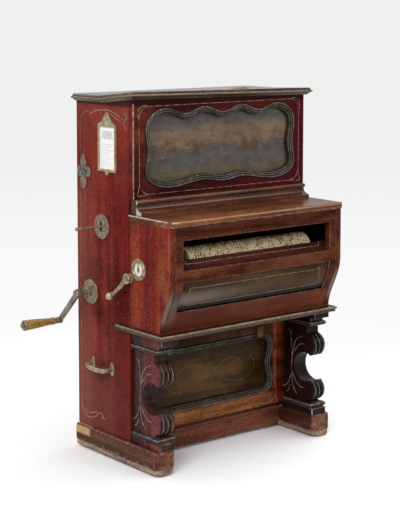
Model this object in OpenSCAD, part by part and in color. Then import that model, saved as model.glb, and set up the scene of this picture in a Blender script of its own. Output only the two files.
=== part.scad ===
// Upright barrel piano turned by a hand crank on its left side.
// Frame: X to the right seen from the front, the front faces -Y, Z up, the floor at Z = 0.
// The back of the case lies on Y = 0, so a place "forward" is a distance along -Y.

/* [Case] */
// Width over the two side boards
case_w = 700; // [680:2:744]
// Depth of the side boards from the back
case_d = 284; // [280:1:300]
// Height of the side boards' top edge above the floor
case_h = 1140; // [1120:5:1180]
// Thickness of the side boards and key box cheeks
board_t = 20; // [18:1:22]
// Thickness of the boarded back
back_t = 8; // [6:1:12]

/* [Base] */
// Width of each plinth runner
plinth_w = 76; // [70:1:84]
// How far the plinths stand out in front of the keybed
plinth_over = 4; // [0:1:12]
// Height of the plinth runners' top above the floor
plinth_top = 76; // [68:1:84]
// How far a plinth stands outside its side board
plinth_out = 13; // [8:1:18]
// Cut on the front corners of the plinths
plinth_cant = 14; // [8:1:20]
// Height of the worn skid under each plinth
skid_h = 18; // [12:1:24]
// Height of the iron glides
glide_h = 6; // [4:1:10]
// Diameter of the iron glides
glide_d = 28; // [20:1:40]
// Height of the apron rail's lower edge above the floor
apron_z = 14; // [8:1:24]
// Thickness of the bottom board
apron_t = 18; // [14:1:24]

/* [Lower front] */
// How far the lower front lies behind the side boards' front edges
lower_in = 24; // [16:1:32]
// Thickness of the lower front frame
lower_t = 20; // [16:1:24]
// Space beside the lower moulding, from the case's side
lower_margin = 93; // [80:1:110]
// Space above the lower moulding, under the keybed
lower_drop = 85; // [76:1:110]
// Space under the lower moulding, above the plinths
lower_rise = 54; // [38:1:60]
// How far the lower moulding's sides draw in at mid height
lower_pinch = 12; // [6:1:24]
// Width of the grey mouldings round both openings
moulding_w = 20; // [16:1:26]
// How far the mouldings stand proud of their frames
moulding_out = 6; // [4:1:9]
// Length of the wooden turn buttons
button_l = 36; // [28:1:44]
// Distance of the turn buttons from the middle
button_x = 196; // [170:1:210]

/* [Consoles] */
// Thickness of a console truss
console_t = 52; // [44:1:58]
// How far a console is set in from the case's side
console_in = 9; // [6:1:16]
// How far the scroll fronts lie behind the keybed's front
console_set = 1; // [0:1:8]
// Height of the consoles' caps under the keybed
cap_h = 50; // [40:1:56]
// Height of the consoles' base blocks on the plinths
base_h = 38; // [30:1:44]
// Radius of the upper scroll
scroll_r1 = 38; // [34:1:41]
// Distance of the upper scroll's middle below the caps
scroll_drop = 64; // [58:1:68]
// Radius of the lower scroll
scroll_r0 = 36; // [32:1:39]
// Distance of the lower scroll's middle above the base blocks
scroll_rise = 43; // [40:1:50]
// Radius of the C shaped hollow
hollow_r = 50; // [44:1:54]
// How far the consoles' backs draw in at mid height
console_back = 28; // [0:1:34]
// Distance of the hollow's middle behind the scroll fronts
hollow_in = 47; // [40:1:52]

/* [Key box] */
// How far the key box stands out in front of the side boards
box_out = 204; // [198:1:216]
// Height of the key box above the keybed, with its top
box_h = 345; // [336:1:352]
// Thickness of the key box top board
top_t = 20; // [14:1:22]
// Height of the keybed's top
bed_z = 444; // [436:1:452]
// Thickness of the keybed
bed_t = 22; // [18:1:26]
// Height above the curved panel where the front starts to curve in
curve_up = 9; // [2:1:16]
// How far the front curves in at its foot
curve_in = 55; // [44:1:64]
// Thickness of the key box front frame
box_front_t = 20; // [16:1:22]
// Space beside the slot and the curved panel, from the case's side
slot_margin = 50; // [46:1:64]
// Distance of the slot's upper edge below the top
slot_drop = 61; // [50:1:70]
// Height of the slot
slot_open = 92; // [84:1:98]
// Height of the rail between the slot and the curved panel
mid_rail = 36; // [32:1:44]
// Height of the rail under the curved panel
foot_rail = 62; // [48:1:70]
// Thickness of the curved panel
panel_t = 8; // [5:1:9]
// How deep the curved panel lies behind the front
panel_in = 6; // [3:1:9]
// Height of the barrel guard in the slot
guard_up = 28; // [18:1:34]
// Thickness of the barrel guard
guard_t = 8; // [6:1:10]
// How far the keybed moulding stands out
bed_out = 9; // [6:1:14]
// How far the keybed moulding stands in front of the keybed
bed_nose = 23; // [16:1:34]
// How far the keybed moulding runs back along the sides
bed_return = 60; // [40:1:80]

/* [Upper front] */
// Thickness of the upper front frame
front_t = 22; // [18:1:26]
// Height of the ledge under the upper front
ledge_h = 46; // [40:1:54]
// Space beside the scalloped moulding, from the case's side
scallop_margin = 43; // [34:1:60]
// Distance of the scalloped moulding's top lobes below the case top
scallop_drop = 28; // [22:1:40]
// Height of the scalloped moulding's bottom lobes above the ledge
scallop_rise = 27; // [24:1:40]
// Depth of the dips along the top
scallop_top = 19; // [15:1:28]
// Height of the crests along the bottom
scallop_bottom = 15; // [10:1:20]
// Depth of the bottom's middle lobe under the crests
scallop_mid = 9; // [5:1:14]
// How far the sides draw in at mid height
scallop_side = 8; // [4:1:16]
// Depth of the ledge under the upper front
ledge_d = 56; // [48:1:64]
// Thickness of the picture and field panels
picture_t = 6; // [4:1:10]

/* [Lid] */
// Thickness of the lid over the case
lid_t = 7; // [6:1:12]
// How far the lid stands out all round
lid_out = 18; // [12:1:24]
// How far the lid's edge hangs below the case top
lid_lip = 16; // [12:1:22]
// Distance of the lid's hinge line from the back
lid_hinge = 150; // [130:1:170]
// Lift of the front leaf's left front corner
lift_left = 19; // [0:1:30]
// Lift of the front leaf's right front corner
lift_right = 7; // [0:1:30]
// Radius of the lid hinge knuckles
knuckle_r = 3; // [2:0.5:4]

/* [Crank] */
// Distance of the crank's axis from the back
crank_d = 73; // [66:1:80]
// Height of the crank's axis
crank_z = 518; // [510:1:526]
// Radius of the crank shaft
crank_r = 9; // [7:0.5:11]
// Length of the crank arm between its axes
crank_l = 146; // [130:1:150]
// Angle of the resting crank arm below the level, towards the back
crank_a = 45; // [0:1:90]
// How far the arm's near face stands off the case
crank_off = 46; // [44:1:60]
// Thickness of the crank arm
arm_t = 10; // [8:1:12]
// Length of the crank's wooden grip
grip_l = 130; // [110:1:140]
// Largest diameter of the grip
grip_d = 34; // [28:1:38]
// Diameter of the round side plates
plate_d = 79; // [70:1:86]
// Thickness of the round side plates
plate_t = 4; // [3:0.5:6]

/* [Drive] */
// Radius of the pulley on the crank shaft
pulley_r1 = 20; // [18:1:24]
// Radius of the driven pulley
pulley_r2 = 84; // [76:1:88]
// Thickness of the leather belt
belt_t = 3; // [2:0.5:4]
// Module of the drive gears
gear_m = 4; // [3.6:0.1:4.2]
// Width of a drive gear
gear_w = 8; // [6:1:9]
// Radius of the idler spindles
spindle_r = 5; // [4:0.5:6]
// Angle of the second idler seen from the barrel
idler_a2 = -45; // [-50:1:-40]
// Angle of the first idler seen from the second
idler_a1 = -20; // [-25:1:-15]

/* [Barrel] */
// Distance of the barrel's axis behind the key box front
barrel_in = 85; // [81:1:89]
// Height of the barrel's axis above the slot's lower edge
barrel_up = 8; // [2:1:12]
// Radius of the barrel
barrel_r = 48; // [42:1:50]
// Space at the barrel's right end
barrel_end = 78; // [76:1:96]
// Radius of the barrel's steel arbor
arbor_r = 7; // [5:0.5:9]
// Thickness of the cradle's two posts
post_t = 8; // [6:1:9]
// Side shift of the barrel each way
shift = 6; // [4:0.5:6]

/* [Tune change] */
// Distance of the tune lever's axis behind the barrel's
tune_back = 110; // [108:1:113]
// Distance of the tune lever's axis below the barrel's
tune_low = 50; // [48:1:53]
// Reach of the tune lever from its axis to its ball
tune_l = 89; // [76:1:92]
// Distance of the dial's axis behind the barrel's
dial_back = 68; // [67:1:71]
// Distance of the dial's axis below the barrel's
dial_low = 18; // [16:1:20]
// Diameter of the dial's brass bezel
bezel_d = 69; // [62:1:72]

/* [Side fittings] */
// Distance of the stop lever from the back
stop_d = 137; // [134:1:146]
// Height of the stop lever's axis
stop_z = 735; // [728:1:742]
// Radius of the stop lever's rod
stop_r = 5; // [4:0.5:6]
// How far the stop lever stands out of the case
stop_l = 95; // [80:1:105]
// Distance of the card frame's middle from the back
card_d = 171; // [150:1:190]
// Distance of the card frame's middle below the case top
card_drop = 156; // [145:1:180]
// Width of the card frame
card_w = 95; // [80:1:110]
// Height of the card frame's rectangle
card_h = 146; // [120:1:160]
// Distance of the lock from the back
lock_d = 40; // [34:1:46]
// Height of the lock
lock_z = 901; // [880:1:910]
// Height of the carrying handles
handle_z = 288; // [270:1:300]
// Length of a carrying handle
handle_l = 134; // [120:1:150]
// Distance of the carrying handles' middle from the back
handle_d = 138; // [130:1:150]
// Stand-off of the carrying handles' bow
handle_off = 36; // [32:1:44]

/* [Strings and hammers] */
// Count of the notes
notes = 24; // [20:1:24]
// Distance of the string plane from the back
string_d = 108; // [104:1:110]
// Radius of the strings
string_r = 0.6; // [0.4:0.1:0.8]
// Radius of the tuning pins
pin_r = 3; // [2.5:0.25:3.5]
// Distance of the hammers' pivot from the back
pivot_d = 190; // [186:1:194]
// Height of the hammers' pivot above the barrel's axis
pivot_up = 3; // [0:1:6]
// Height of the hammer heads above their pivot
hammer_h = 121; // [112:1:126]
// Rest gap between hammer heads and strings
hammer_gap = 7.8; // [7.6:0.1:9]
// Thickness of a hammer
hammer_t = 8; // [6:0.5:9]

/* [Hidden] */
$fn = 48;
half_w = case_w / 2;
in_x = half_w - board_t;
runner_x = half_w + plinth_out - plinth_w;
box_d = case_d + box_out;
box_top = bed_z + box_h;
slot_x = half_w - slot_margin;
slot_z1 = box_top - slot_drop;
slot_z0 = slot_z1 - slot_open;
panel_z1 = slot_z0 - mid_rail;
panel_z0 = bed_z + foot_rail;
curve_z = panel_z1 + curve_up;
bed_d = -box_line(bed_z, 0);
plinth_l = bed_d + plinth_over;
lower_d = case_d - lower_in;
lower_w = case_w - 2 * lower_margin;
lower_z1 = bed_z - bed_t - lower_drop;
lower_z0 = plinth_top + lower_rise;
console_d = bed_d - console_set;
console_z1 = bed_z - bed_t - cap_h;
console_z0 = plinth_top + base_h;
scroll_z1 = console_z1 - scroll_drop;
scroll_z0 = console_z0 + scroll_rise;
hollow_d = console_d - hollow_in;
guard_z = slot_z0 + guard_up;
bed_front = bed_d + bed_nose;
bed_back = case_d - bed_return;
front_z = box_top + ledge_h;
scallop_w = case_w - 2 * scallop_margin;
scallop_z1 = case_h - scallop_drop;
scallop_z0 = front_z + scallop_rise;
barrel_d = box_d - barrel_in;
barrel_z = slot_z0 + barrel_up;
barrel_x1 = in_x - barrel_end;
tune_d = barrel_d - tune_back;
tune_z = barrel_z - tune_low;
dial_d = barrel_d - dial_back;
dial_z = barrel_z - dial_low;
card_z = case_h - card_drop;
board_x = in_x - 100;
note_step = (2 * board_x - 12) / (notes - 1);
pivot_z = barrel_z + pivot_up;
skid_top = glide_h + skid_h;
fit = 0.05;
slip = 0.3;
floor_z = plinth_top + apron_t;
bed_z0 = bed_z - bed_t;
box_z1 = box_top - top_t;
post_x = in_x - 78;
frame_d = 62;
board_d = 8;
plank_z = [case_h - 140, case_h - 30];
rail_h = 90;
wave_n = 12;
curve_n = 14;
lid_z = case_h + lid_t;
knuckle_z = lid_z + knuckle_r + 0.2;
slot_h = stop_r * 2 + 22;
pin_shift = pin_r + string_r + fit;
pin_depth = 20;
pin_out = 24;
button_z = lower_z1 + 8;
button_t = 8;
button_w = 28;
screw_r = 3;
slide_w = 60;
slide_deep = 6;
slide_y = box_line(bed_z, box_front_t) + 7;
guard_lean = 6;
front_d = case_d + front_t;
edge_gap = 0.5;
lid_x = half_w + lid_out;
frame_t = 5;
rim = 7;
lock_r = 4;
lock_t = 3;
stop_pivot = -in_x + 26;
stop_tip = stop_pivot + 45;
tip_r = 7;
pivot_r = 2.5;
rail_z0 = pivot_z + hammer_h + 40;
rail_y = -string_d - 2 * string_r - 1.2;
guide_x = in_x - 40;
guide_y = [rail_y - 44, rail_y - 2];
arm_x = -half_w - crank_off;
shaft_x = arm_x - arm_t * 0.6;
boss_r = 13;
grip_gap = 3;
spindle_l = grip_l + 2 * grip_gap;
grip_r = 4;
tune_r = 6;
dial_r = 3;
tune_phase = 0;
lever_x = -half_w - 27;
ball_r = 11;
wire_r = 2;

// Layers of the drive inside the left side board, from the board inwards
layer_tune = -in_x + 1;
layer_snail = -in_x + 7.5;
layer_belt = -in_x + 8;
layer_wheel = -in_x + 32;
layer_barrel = -in_x + 50;
belt_w = 12;
tune_w = 6;
barrel_x0 = -in_x + 86;
post_gap = 2;

// Teeth of the drive and of the tune change
pinion_n = 12;
wheel_n = 44;
barrel_n = 22;
tune_n = 32;
dial_n = 16;
pressure = 25;
addendum = 0.8;
backlash = 0.4;

// Axes of the drive as [y, z]
crank_c = [-crank_d, crank_z];
barrel_c = [-barrel_d, barrel_z];
reach2 = gear_m * (pinion_n + barrel_n) / 2;
reach1 = gear_m * (pinion_n + wheel_n) / 2;
idler2_c = barrel_c + reach2 * [cos(idler_a2), sin(idler_a2)];
idler1_c = idler2_c + reach1 * [cos(idler_a1), sin(idler_a1)];
tune_c = [-tune_d, tune_z];
dial_c = [-dial_d, dial_z];
tune_m = 2 * norm(dial_c - tune_c) / (tune_n + dial_n);
snail_steps = 8;
snail_r = 13;
snail_turn = 240;
leg_x = layer_snail + shift + 2.5;
crank_end = crank_c + crank_l * [cos(crank_a), -sin(crank_a)];
wheel_phase = mesh_angle(idler1_c, pinion_n, 0, idler2_c, wheel_n);
barrel_phase = mesh_angle(idler2_c, pinion_n, 0, barrel_c, barrel_n);
dial_phase = mesh_angle(tune_c, tune_n, tune_phase, dial_c, dial_n);
collar_r = norm(dial_c - tune_c) - bezel_d / 2 - 1;

// Rings round the front leaf from its top, over the moulded edge, to its underside, as [inset, height]
lid_rings = [[4, lid_z], [0, lid_z - 9], [0, lid_z - 13], [lid_out - edge_gap - 7, case_h - lid_lip],
    [lid_out - edge_gap, case_h - lid_lip], [lid_out - edge_gap, case_h]];

// A box between two corners
module box(a, b) {
    translate(a) cube(b - a);
}

// A profile drawn in [y, z], extruded along X
module along_x(x0, x1) {
    translate([x0, 0, 0]) rotate([90, 0, 90]) linear_extrude(x1 - x0) children();
}

// A profile drawn in [x, z], extruded forward from a distance behind to one in front
module forward(d0, d1) {
    translate([0, -d0, 0]) rotate([90, 0, 0]) linear_extrude(d1 - d0) children();
}

// A rod along X at [y, z]
module rod_x(c, r, x0, x1) {
    translate([x0, c[0], c[1]]) rotate([0, 90, 0]) cylinder(r = r, h = x1 - x0);
}

// A solid turned about the X axis at [y, z], drawn as [radius, distance along -X]
module turned_left(c, x0) {
    translate([x0, c[0], c[1]]) rotate([0, -90, 0]) rotate_extrude() children();
}

// The same part on the left and, mirrored, on the right
module both_sides() {
    children();
    mirror([1, 0, 0]) children();
}

// Points of an arc or a quarter ellipse about [x, y]
function arc(c, a, b, from, to, n) =
    [for (i = [0:n]) let (t = from + (to - from) * i / n) c + [a * cos(t), b * sin(t)]];

// Half a cosine step between two values
function ease(from, to, t) = from + (to - from) * (1 - cos(180 * t)) / 2;

// Outline of the scalloped opening, set in by d
function scallop_points(d) =
    let (w = scallop_w / 2 - d, z1 = scallop_z1 - d, z0 = scallop_z0 + d, q = w / 4, c1 = 68 - d,
        c0 = 54 - d, foot_x = w - 93, crest_x = 78, crest_z = z0 + scallop_bottom,
        mid_z = crest_z - scallop_mid, n = wave_n)
    concat(
        [for (i = [0:6 * n - 1]) let (x = -3 * q + q * i / n)
            [x, z1 - scallop_top * (1 + cos(180 * x / q)) / 2]],
        arc([3 * q, z1 - c1], q, c1, 90, 0, n),
        [for (i = [1:2 * n - 1]) let (t = i / (2 * n))
            [w - scallop_side * (1 - cos(360 * t)) / 2, z1 - c1 + (z0 + c0 + c1 - z1) * t]],
        arc([foot_x, z0 + c0], w - foot_x, c0, 0, -90, n),
        [for (i = [1:n]) [foot_x + (crest_x - foot_x) * i / n, ease(z0, crest_z, i / n)]],
        [for (i = [1:2 * n - 1]) let (t = i / n)
            [crest_x * (1 - t), mid_z + scallop_mid * (1 + cos(180 * t)) / 2]],
        [for (i = [0:n - 1]) [-crest_x - (foot_x - crest_x) * i / n, ease(crest_z, z0, i / n)]],
        arc([-foot_x, z0 + c0], w - foot_x, c0, -90, -180, n),
        [for (i = [1:2 * n - 1]) let (t = i / (2 * n))
            [-w + scallop_side * (1 - cos(360 * t)) / 2, z0 + c0 + (z1 - z0 - c0 - c1) * t]],
        arc([-3 * q, z1 - c1], q, c1, 180, 90 + 90 / n, n - 1));

// Outline of the lower opening, set in by d
function lower_points(d) =
    let (w = lower_w / 2 - d, z1 = lower_z1 - d, z0 = lower_z0 + d, r = 42 - d, n = wave_n)
    concat(
        arc([w - r, z1 - r], r, r, 90, 0, n),
        [for (i = [1:2 * n - 1]) let (t = i / (2 * n))
            [w - lower_pinch * (1 - cos(360 * t)) / 2, z1 - r + (z0 + 2 * r - z1) * t]],
        arc([w - r, z0 + r], r, r, 0, -90, n),
        arc([-w + r, z0 + r], r, r, -90, -180, n),
        [for (i = [1:2 * n - 1]) let (t = i / (2 * n))
            [-w + lower_pinch * (1 - cos(360 * t)) / 2, z0 + r + (z1 - z0 - 2 * r) * t]],
        arc([-w + r, z1 - r], r, r, 180, 90, n));

// Front line of the key box at a height, set back by d
function box_line(z, d) =
    -box_d + d + (z > curve_z ? 0
        : curve_in * (1 - cos(180 * (curve_z - z) / (curve_z - bed_z + 12))) / 2);

// Front curve of the key box from one height down to another, set back by d
function box_curve(z1, z0, d) =
    concat(z1 > curve_z ? [[-box_d + d, z1]] : [],
        [for (i = [0:curve_n]) let (z = min(z1, curve_z) + (z0 - min(z1, curve_z)) * i / curve_n)
            [box_line(z, d), z]]);

function reversed(list) = [for (i = [len(list) - 1:-1:0]) list[i]];

// Involute tooth outline of a gear whose first tooth points along angle a
function involute(t) = tan(t) * 180 / PI - t;
function gear_points(m, n, a) =
    let (rp = m * n / 2, rb = rp * cos(pressure), ra = rp + addendum * m, rr = rp - m,
        half = 90 / n - backlash / 4 / rp * 180 / PI + involute(pressure), r0 = max(rb, rr),
        radii = [r0, (r0 + rp) / 2, rp, (rp + ra) / 2, ra],
        wide = [for (r = radii) half - involute(acos(min(1, rb / r)))])
    [for (k = [0:n - 1]) let (c = a + 360 * k / n) each concat(
        rb > rr ? [rr * [cos(c - wide[0]), sin(c - wide[0])]] : [],
        [for (i = [0:4]) radii[i] * [cos(c - wide[i]), sin(c - wide[i])]],
        [for (i = [4:-1:0]) radii[i] * [cos(c + wide[i]), sin(c + wide[i])]],
        rb > rr ? [rr * [cos(c + wide[0]), sin(c + wide[0])]] : [])];

// Angle of the first tooth of a gear that meshes with another one
function mesh_angle(c1, n1, a1, c2, n2) =
    let (b = atan2(c2[1] - c1[1], c2[0] - c1[0])) b + 180 + ((b - a1) * n1 / 360 + 0.5) * 360 / n2;

// A gear about the X axis at [y, z]
module gear_x(c, m, n, a, x0, x1) {
    along_x(x0, x1) translate(c) polygon(gear_points(m, n, a));
}

// Plan of a plinth runner on the left, set in by d
module runner_plan(d) {
    x0 = -half_w - plinth_out + d;
    x1 = x0 + plinth_w - 2 * d;
    y1 = -plinth_l + d;
    polygon([[x0, 0], [x0, y1 + plinth_cant], [x0 + plinth_cant, y1], [x1 - plinth_cant, y1],
        [x1, y1 + plinth_cant], [x1, 0]]);
}

// Side boards, with the bores that the left one carries

module side_board(x0) {
    box([x0, -case_d, plinth_top], [x0 + board_t, 0, case_h]);
}

module left_side_board() {
    color("firebrick") difference() {
        side_board(-half_w);
        rod_x(crank_c, crank_r + fit, -half_w - 1, -in_x + 1);
        rod_x([-lock_d, lock_z], lock_r + fit, -half_w - 1, -in_x + 1);
        stop_slot(-half_w - 1, -in_x + 1);
        drive_bores();
    }
}

// Bores for the drive and the tune change, wherever they fall on the left board and cheek
module drive_bores() {
    rod_x(idler1_c, spindle_r + fit, -in_x - board_t * 0.6, -in_x + 1);
    rod_x(idler2_c, spindle_r + fit, -in_x - board_t * 0.6, -in_x + 1);
    rod_x(tune_c, tune_r + fit, -half_w - 1, -in_x + 1);
    rod_x(dial_c, dial_r + fit, -half_w - 1, -in_x + 1);
}

module right_side_board() {
    color("firebrick") side_board(in_x);
}

// Slot in which the stop lever moves up and down
module stop_slot(x0, x1) {
    box([x0, -stop_d - stop_r - 1, stop_z - slot_h / 2], [x1, -stop_d + stop_r + 1, stop_z + slot_h / 2]);
}

// Boarded back, strung back frame and soundboard

module back_boards() {
    boards = 5;
    step = 2 * in_x / boards;
    color("saddlebrown") for (i = [0:boards - 1])
        box([-in_x + i * step, -back_t, floor_z], [-in_x + (i + 1) * step - 0.5, 0, case_h]);
}

module back_frame() {
    rail_z = [floor_z, case_h - rail_h];
    color("peru") for (z = rail_z)
        box([-in_x, -frame_d, z], [in_x, -back_t, z + rail_h]);
    color("peru") for (x = [-post_x, 0, post_x])
        box([x - 18, -frame_d, floor_z + rail_h], [x + 18, -back_t, case_h - rail_h]);
    color("peru") box([-board_x, -string_d, floor_z], [board_x, -frame_d, floor_z + rail_h]);
}

module soundboard() {
    bridge_w = 24;
    bridge_z = floor_z + rail_h + 197;
    color("burlywood") {
        box([-board_x, -frame_d - board_d, floor_z + rail_h], [board_x, -frame_d, plank_z[0]]);
        translate([0, 0, bridge_z]) rotate([0, -8, 0])
            box([-board_x + 12, -string_d, -bridge_w / 2],
                [board_x - 12, -frame_d - board_d, bridge_w / 2]);
    }
}

function note_x(i) = (i - (notes - 1) / 2) * note_step;
function pin_z(i) = plank_z[0] + 30 + 30 * (i % 2);

module wrest_plank() {
    color("burlywood") difference() {
        box([-in_x, -string_d, plank_z[0]], [in_x, -frame_d, plank_z[1]]);
        for (i = [0:notes - 1])
            translate([note_x(i) + pin_shift, -string_d - 1, pin_z(i)]) rotate([-90, 0, 0])
                cylinder(r = pin_r, h = pin_depth + 1);
    }
}

module tuning_pins() {
    color("dimgray") for (i = [0:notes - 1])
        translate([note_x(i) + pin_shift, -string_d - pin_out, pin_z(i)]) rotate([-90, 0, 0])
            cylinder(r = pin_r, h = pin_depth + pin_out);
}

module strings() {
    z0 = floor_z + rail_h / 2;
    color("silver") for (i = [0:notes - 1])
        translate([note_x(i), -string_d - string_r - fit, z0]) cylinder(r = string_r, h = pin_z(i) - z0);
}

// Base: bottom board, plinths, skids and glides

module bottom_board() {
    color("saddlebrown") box([-in_x, -lower_d + lower_t, plinth_top], [in_x, 0, floor_z]);
}

module plinths() {
    lip = 4;
    color("brown") both_sides() {
        translate([0, 0, skid_top]) linear_extrude(plinth_top - skid_top - lip) runner_plan(0);
        translate([0, 0, plinth_top - lip]) linear_extrude(lip) runner_plan(lip);
    }
}

module skids() {
    color("gray") both_sides() translate([0, 0, glide_h]) linear_extrude(skid_h) runner_plan(2);
}

module glides() {
    inset = glide_d + 8;
    x = half_w + plinth_out - plinth_w / 2;
    color("black") for (sx = [-1, 1], y = [-inset, -plinth_l + inset])
        translate([sx * x, y, 0]) cylinder(d = glide_d, h = glide_h);
}

// Consoles with reeded scrolls, their caps and base blocks

module console_profile() {
    difference() {
        union() {
            polygon(concat([[-console_d + scroll_r0, console_z0], [-console_d + scroll_r1, console_z1]],
                [for (i = [0:wave_n]) let (t = i / wave_n)
                    [-case_d - console_back * sin(180 * t), console_z1 + (console_z0 - console_z1) * t]]));
            translate([-console_d + scroll_r1, scroll_z1]) circle(r = scroll_r1);
            translate([-console_d + scroll_r0, scroll_z0]) circle(r = scroll_r0);
        }
        translate([-hollow_d, (scroll_z0 + scroll_z1) / 2]) circle(r = hollow_r);
    }
}

module scroll_reed(r, z, x) {
    reed = 5;
    deep = 4;
    intersection() {
        translate([x - reed / 2, -console_d + r, z]) rotate([0, 90, 0]) difference() {
            cylinder(r = r + 1, h = reed);
            translate([0, 0, -1]) cylinder(r = r - deep, h = reed + 2);
        }
        box([x - reed, -console_d - 2, z - r], [x + reed, -console_d + r * 0.9, z + r]);
    }
}

module consoles() {
    x0 = -half_w + console_in;
    color("maroon") both_sides() difference() {
        along_x(x0, x0 + console_t) console_profile();
        for (x = [x0 + console_t / 3, x0 + console_t * 2 / 3]) {
            scroll_reed(scroll_r1, scroll_z1, x);
            scroll_reed(scroll_r0, scroll_z0, x);
        }
    }
}

module console_caps() {
    step = 20;
    x0 = -half_w + console_in;
    color("maroon") both_sides() {
        along_x(x0 - 6, x0 + console_t + 6)
            polygon([[-case_d, bed_z0 - step], [-console_d - 8, bed_z0 - step], [-console_d - 8, bed_z0],
                [-case_d, bed_z0]]);
        along_x(x0 - 2, x0 + console_t + 2)
            polygon([[-case_d, console_z1], [-console_d + scroll_r1, console_z1],
                [-console_d + 18, bed_z0 - step - 14], [-console_d + 16, bed_z0 - step],
                [-case_d, bed_z0 - step]]);
    }
}

module console_bases() {
    x0 = -half_w + console_in;
    mid = (plinth_top + console_z0) / 2 + 2;
    color("maroon") both_sides() {
        along_x(x0 - 5, x0 + console_t + 5)
            polygon([[-case_d, plinth_top], [-console_d + 4, plinth_top], [-console_d + 4, mid],
                [-case_d, mid]]);
        along_x(x0 - 2, x0 + console_t + 2)
            polygon([[-case_d, mid], [-console_d + 8, mid], [-console_d + 24, console_z0],
                [-case_d, console_z0]]);
    }
}

// Lower front: apron rail, frame, moulding, field and turn buttons

module apron_rail() {
    bead = 5;
    color("firebrick") {
        box([-runner_x, -lower_d, apron_z], [runner_x, -lower_d + lower_t, plinth_top]);
        rod_x([-lower_d, plinth_top - bead], bead, -runner_x, runner_x);
    }
}

module lower_frame() {
    color("firebrick") difference() {
        box([-in_x, -lower_d, plinth_top], [in_x, -lower_d + lower_t, bed_z0]);
        forward(lower_d - lower_t - 1, lower_d + 1) polygon(lower_points(0));
    }
}

module lower_moulding() {
    color("gray") {
        forward(lower_d - lower_t + picture_t, lower_d) difference() {
            polygon(lower_points(0));
            polygon(lower_points(moulding_w));
        }
        forward(lower_d, lower_d + moulding_out) difference() {
            polygon(lower_points(0));
            polygon(lower_points(moulding_w / 2));
        }
    }
}

module lower_field() {
    color("saddlebrown") forward(lower_d - lower_t, lower_d - lower_t + picture_t) polygon(lower_points(0));
}

// A turn button that reaches over the moulding, with its spacer and screw
module turn_button(x) {
    back = lower_d + moulding_out + slip;
    color("peru") difference() {
        box([x - button_w / 2, -back - button_t, button_z - button_l / 2],
            [x + button_w / 2, -back, button_z + button_l / 2]);
        translate([x, -back + 1, button_z]) rotate([90, 0, 0]) cylinder(r = screw_r, h = button_t + 3);
    }
    color("goldenrod") translate([x, -lower_d - slip, button_z]) rotate([90, 0, 0]) {
        cylinder(r = screw_r + 2, h = moulding_out);
        cylinder(r = screw_r, h = moulding_out + button_t);
        translate([0, 0, moulding_out + button_t]) cylinder(r = screw_r + 2, h = 2);
    }
}

module left_turn_button() {
    turn_button(-button_x);
}

module right_turn_button() {
    turn_button(button_x);
}

// Key box: bed, moulding, cheeks, front frame, curved panel, guard and top

module keybed() {
    color("firebrick") difference() {
        union() {
            box([-half_w, box_line(bed_z, 0), bed_z0], [half_w, -case_d, bed_z]);
            box([-in_x, -case_d, bed_z0], [in_x, -lower_d + lower_t, bed_z]);
        }
        box([-in_x + 40, slide_y - fit, bed_z - slide_deep],
            [in_x - 40, slide_y + slide_w + fit, bed_z + 1]);
    }
}

module bed_plan(out) {
    difference() {
        polygon([[-half_w - out, -bed_back], [-half_w - out, -bed_front + bed_out - out],
            [half_w + out, -bed_front + bed_out - out], [half_w + out, -bed_back]]);
        polygon([[-half_w, -bed_back + 1], [-half_w, box_line(bed_z, 0)],
            [half_w, box_line(bed_z, 0)], [half_w, -bed_back + 1]]);
    }
}

module keybed_moulding() {
    color("dimgray") {
        translate([0, 0, bed_z0]) linear_extrude(bed_t * 0.4) bed_plan(bed_out - 3);
        translate([0, 0, bed_z0 + bed_t * 0.4]) linear_extrude(bed_t * 0.4) bed_plan(bed_out);
    }
}

module cheek_profile() {
    polygon(concat([[-case_d, box_z1]], box_curve(box_z1, bed_z, 0), [[-case_d, bed_z]]));
}

module left_cheek() {
    color("firebrick") difference() {
        along_x(-half_w, -in_x) cheek_profile();
        drive_bores();
    }
}

module right_cheek() {
    color("firebrick") along_x(in_x, half_w) cheek_profile();
}

module front_band(z1, z0, d0, d1) {
    polygon(concat(box_curve(z1, z0, d0), reversed(box_curve(z1, z0, d1))));
}

module key_front() {
    color("brown") difference() {
        along_x(-in_x, in_x) front_band(box_z1, bed_z, 0, box_front_t);
        box([-slot_x, -box_d - 1, slot_z0], [slot_x, -box_d + box_front_t + 1, slot_z1]);
        box([-slot_x, -box_d - 1, panel_z0], [slot_x, -bed_front + 60, panel_z1]);
    }
}

module curved_panel() {
    color("darkolivegreen") along_x(-slot_x, slot_x)
        front_band(panel_z1, panel_z0, panel_in, panel_in + panel_t);
}

module barrel_guard() {
    y0 = -box_d + box_front_t;
    z0 = slot_z0 - 18;
    color("maroon") along_x(-in_x, in_x)
        polygon([[y0, z0], [y0, slot_z0], [y0 + guard_lean, guard_z], [y0 + guard_lean + guard_t, guard_z],
            [y0 + guard_t, z0]]);
}

module key_top() {
    nose = top_t / 2;
    corner = 16;
    x = half_w + 4;
    y = -box_d - 10;
    color("saddlebrown") intersection() {
        along_x(-x, x)
            polygon(concat([[-case_d, box_top]], arc([y + nose, box_z1 + nose], nose, nose, 90, 270, 10),
                [[-case_d, box_z1]]));
        translate([0, 0, box_z1 - 1]) linear_extrude(top_t + 2)
            polygon(concat([[-x, -case_d]], arc([-x + corner, y + corner], corner, corner, 180, 270, 6),
                arc([x - corner, y + corner], corner, corner, 270, 360, 6), [[x, -case_d]]));
    }
}

module ledge_moulding() {
    y = -case_d;
    bead = 7;
    color("brown") along_x(-half_w + 4, half_w - 4)
        polygon(concat([[y, front_z]], arc([y - front_t - 8, front_z - bead], bead, bead, 90, 270, 8),
            [[y - front_t - 8, box_top + 24], [y - ledge_d + 8, box_top + 16], [y - ledge_d, box_top + 10],
                [y - ledge_d, box_top], [y, box_top]]));
}

// Upper front: frame, scalloped moulding and picture panel

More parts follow.
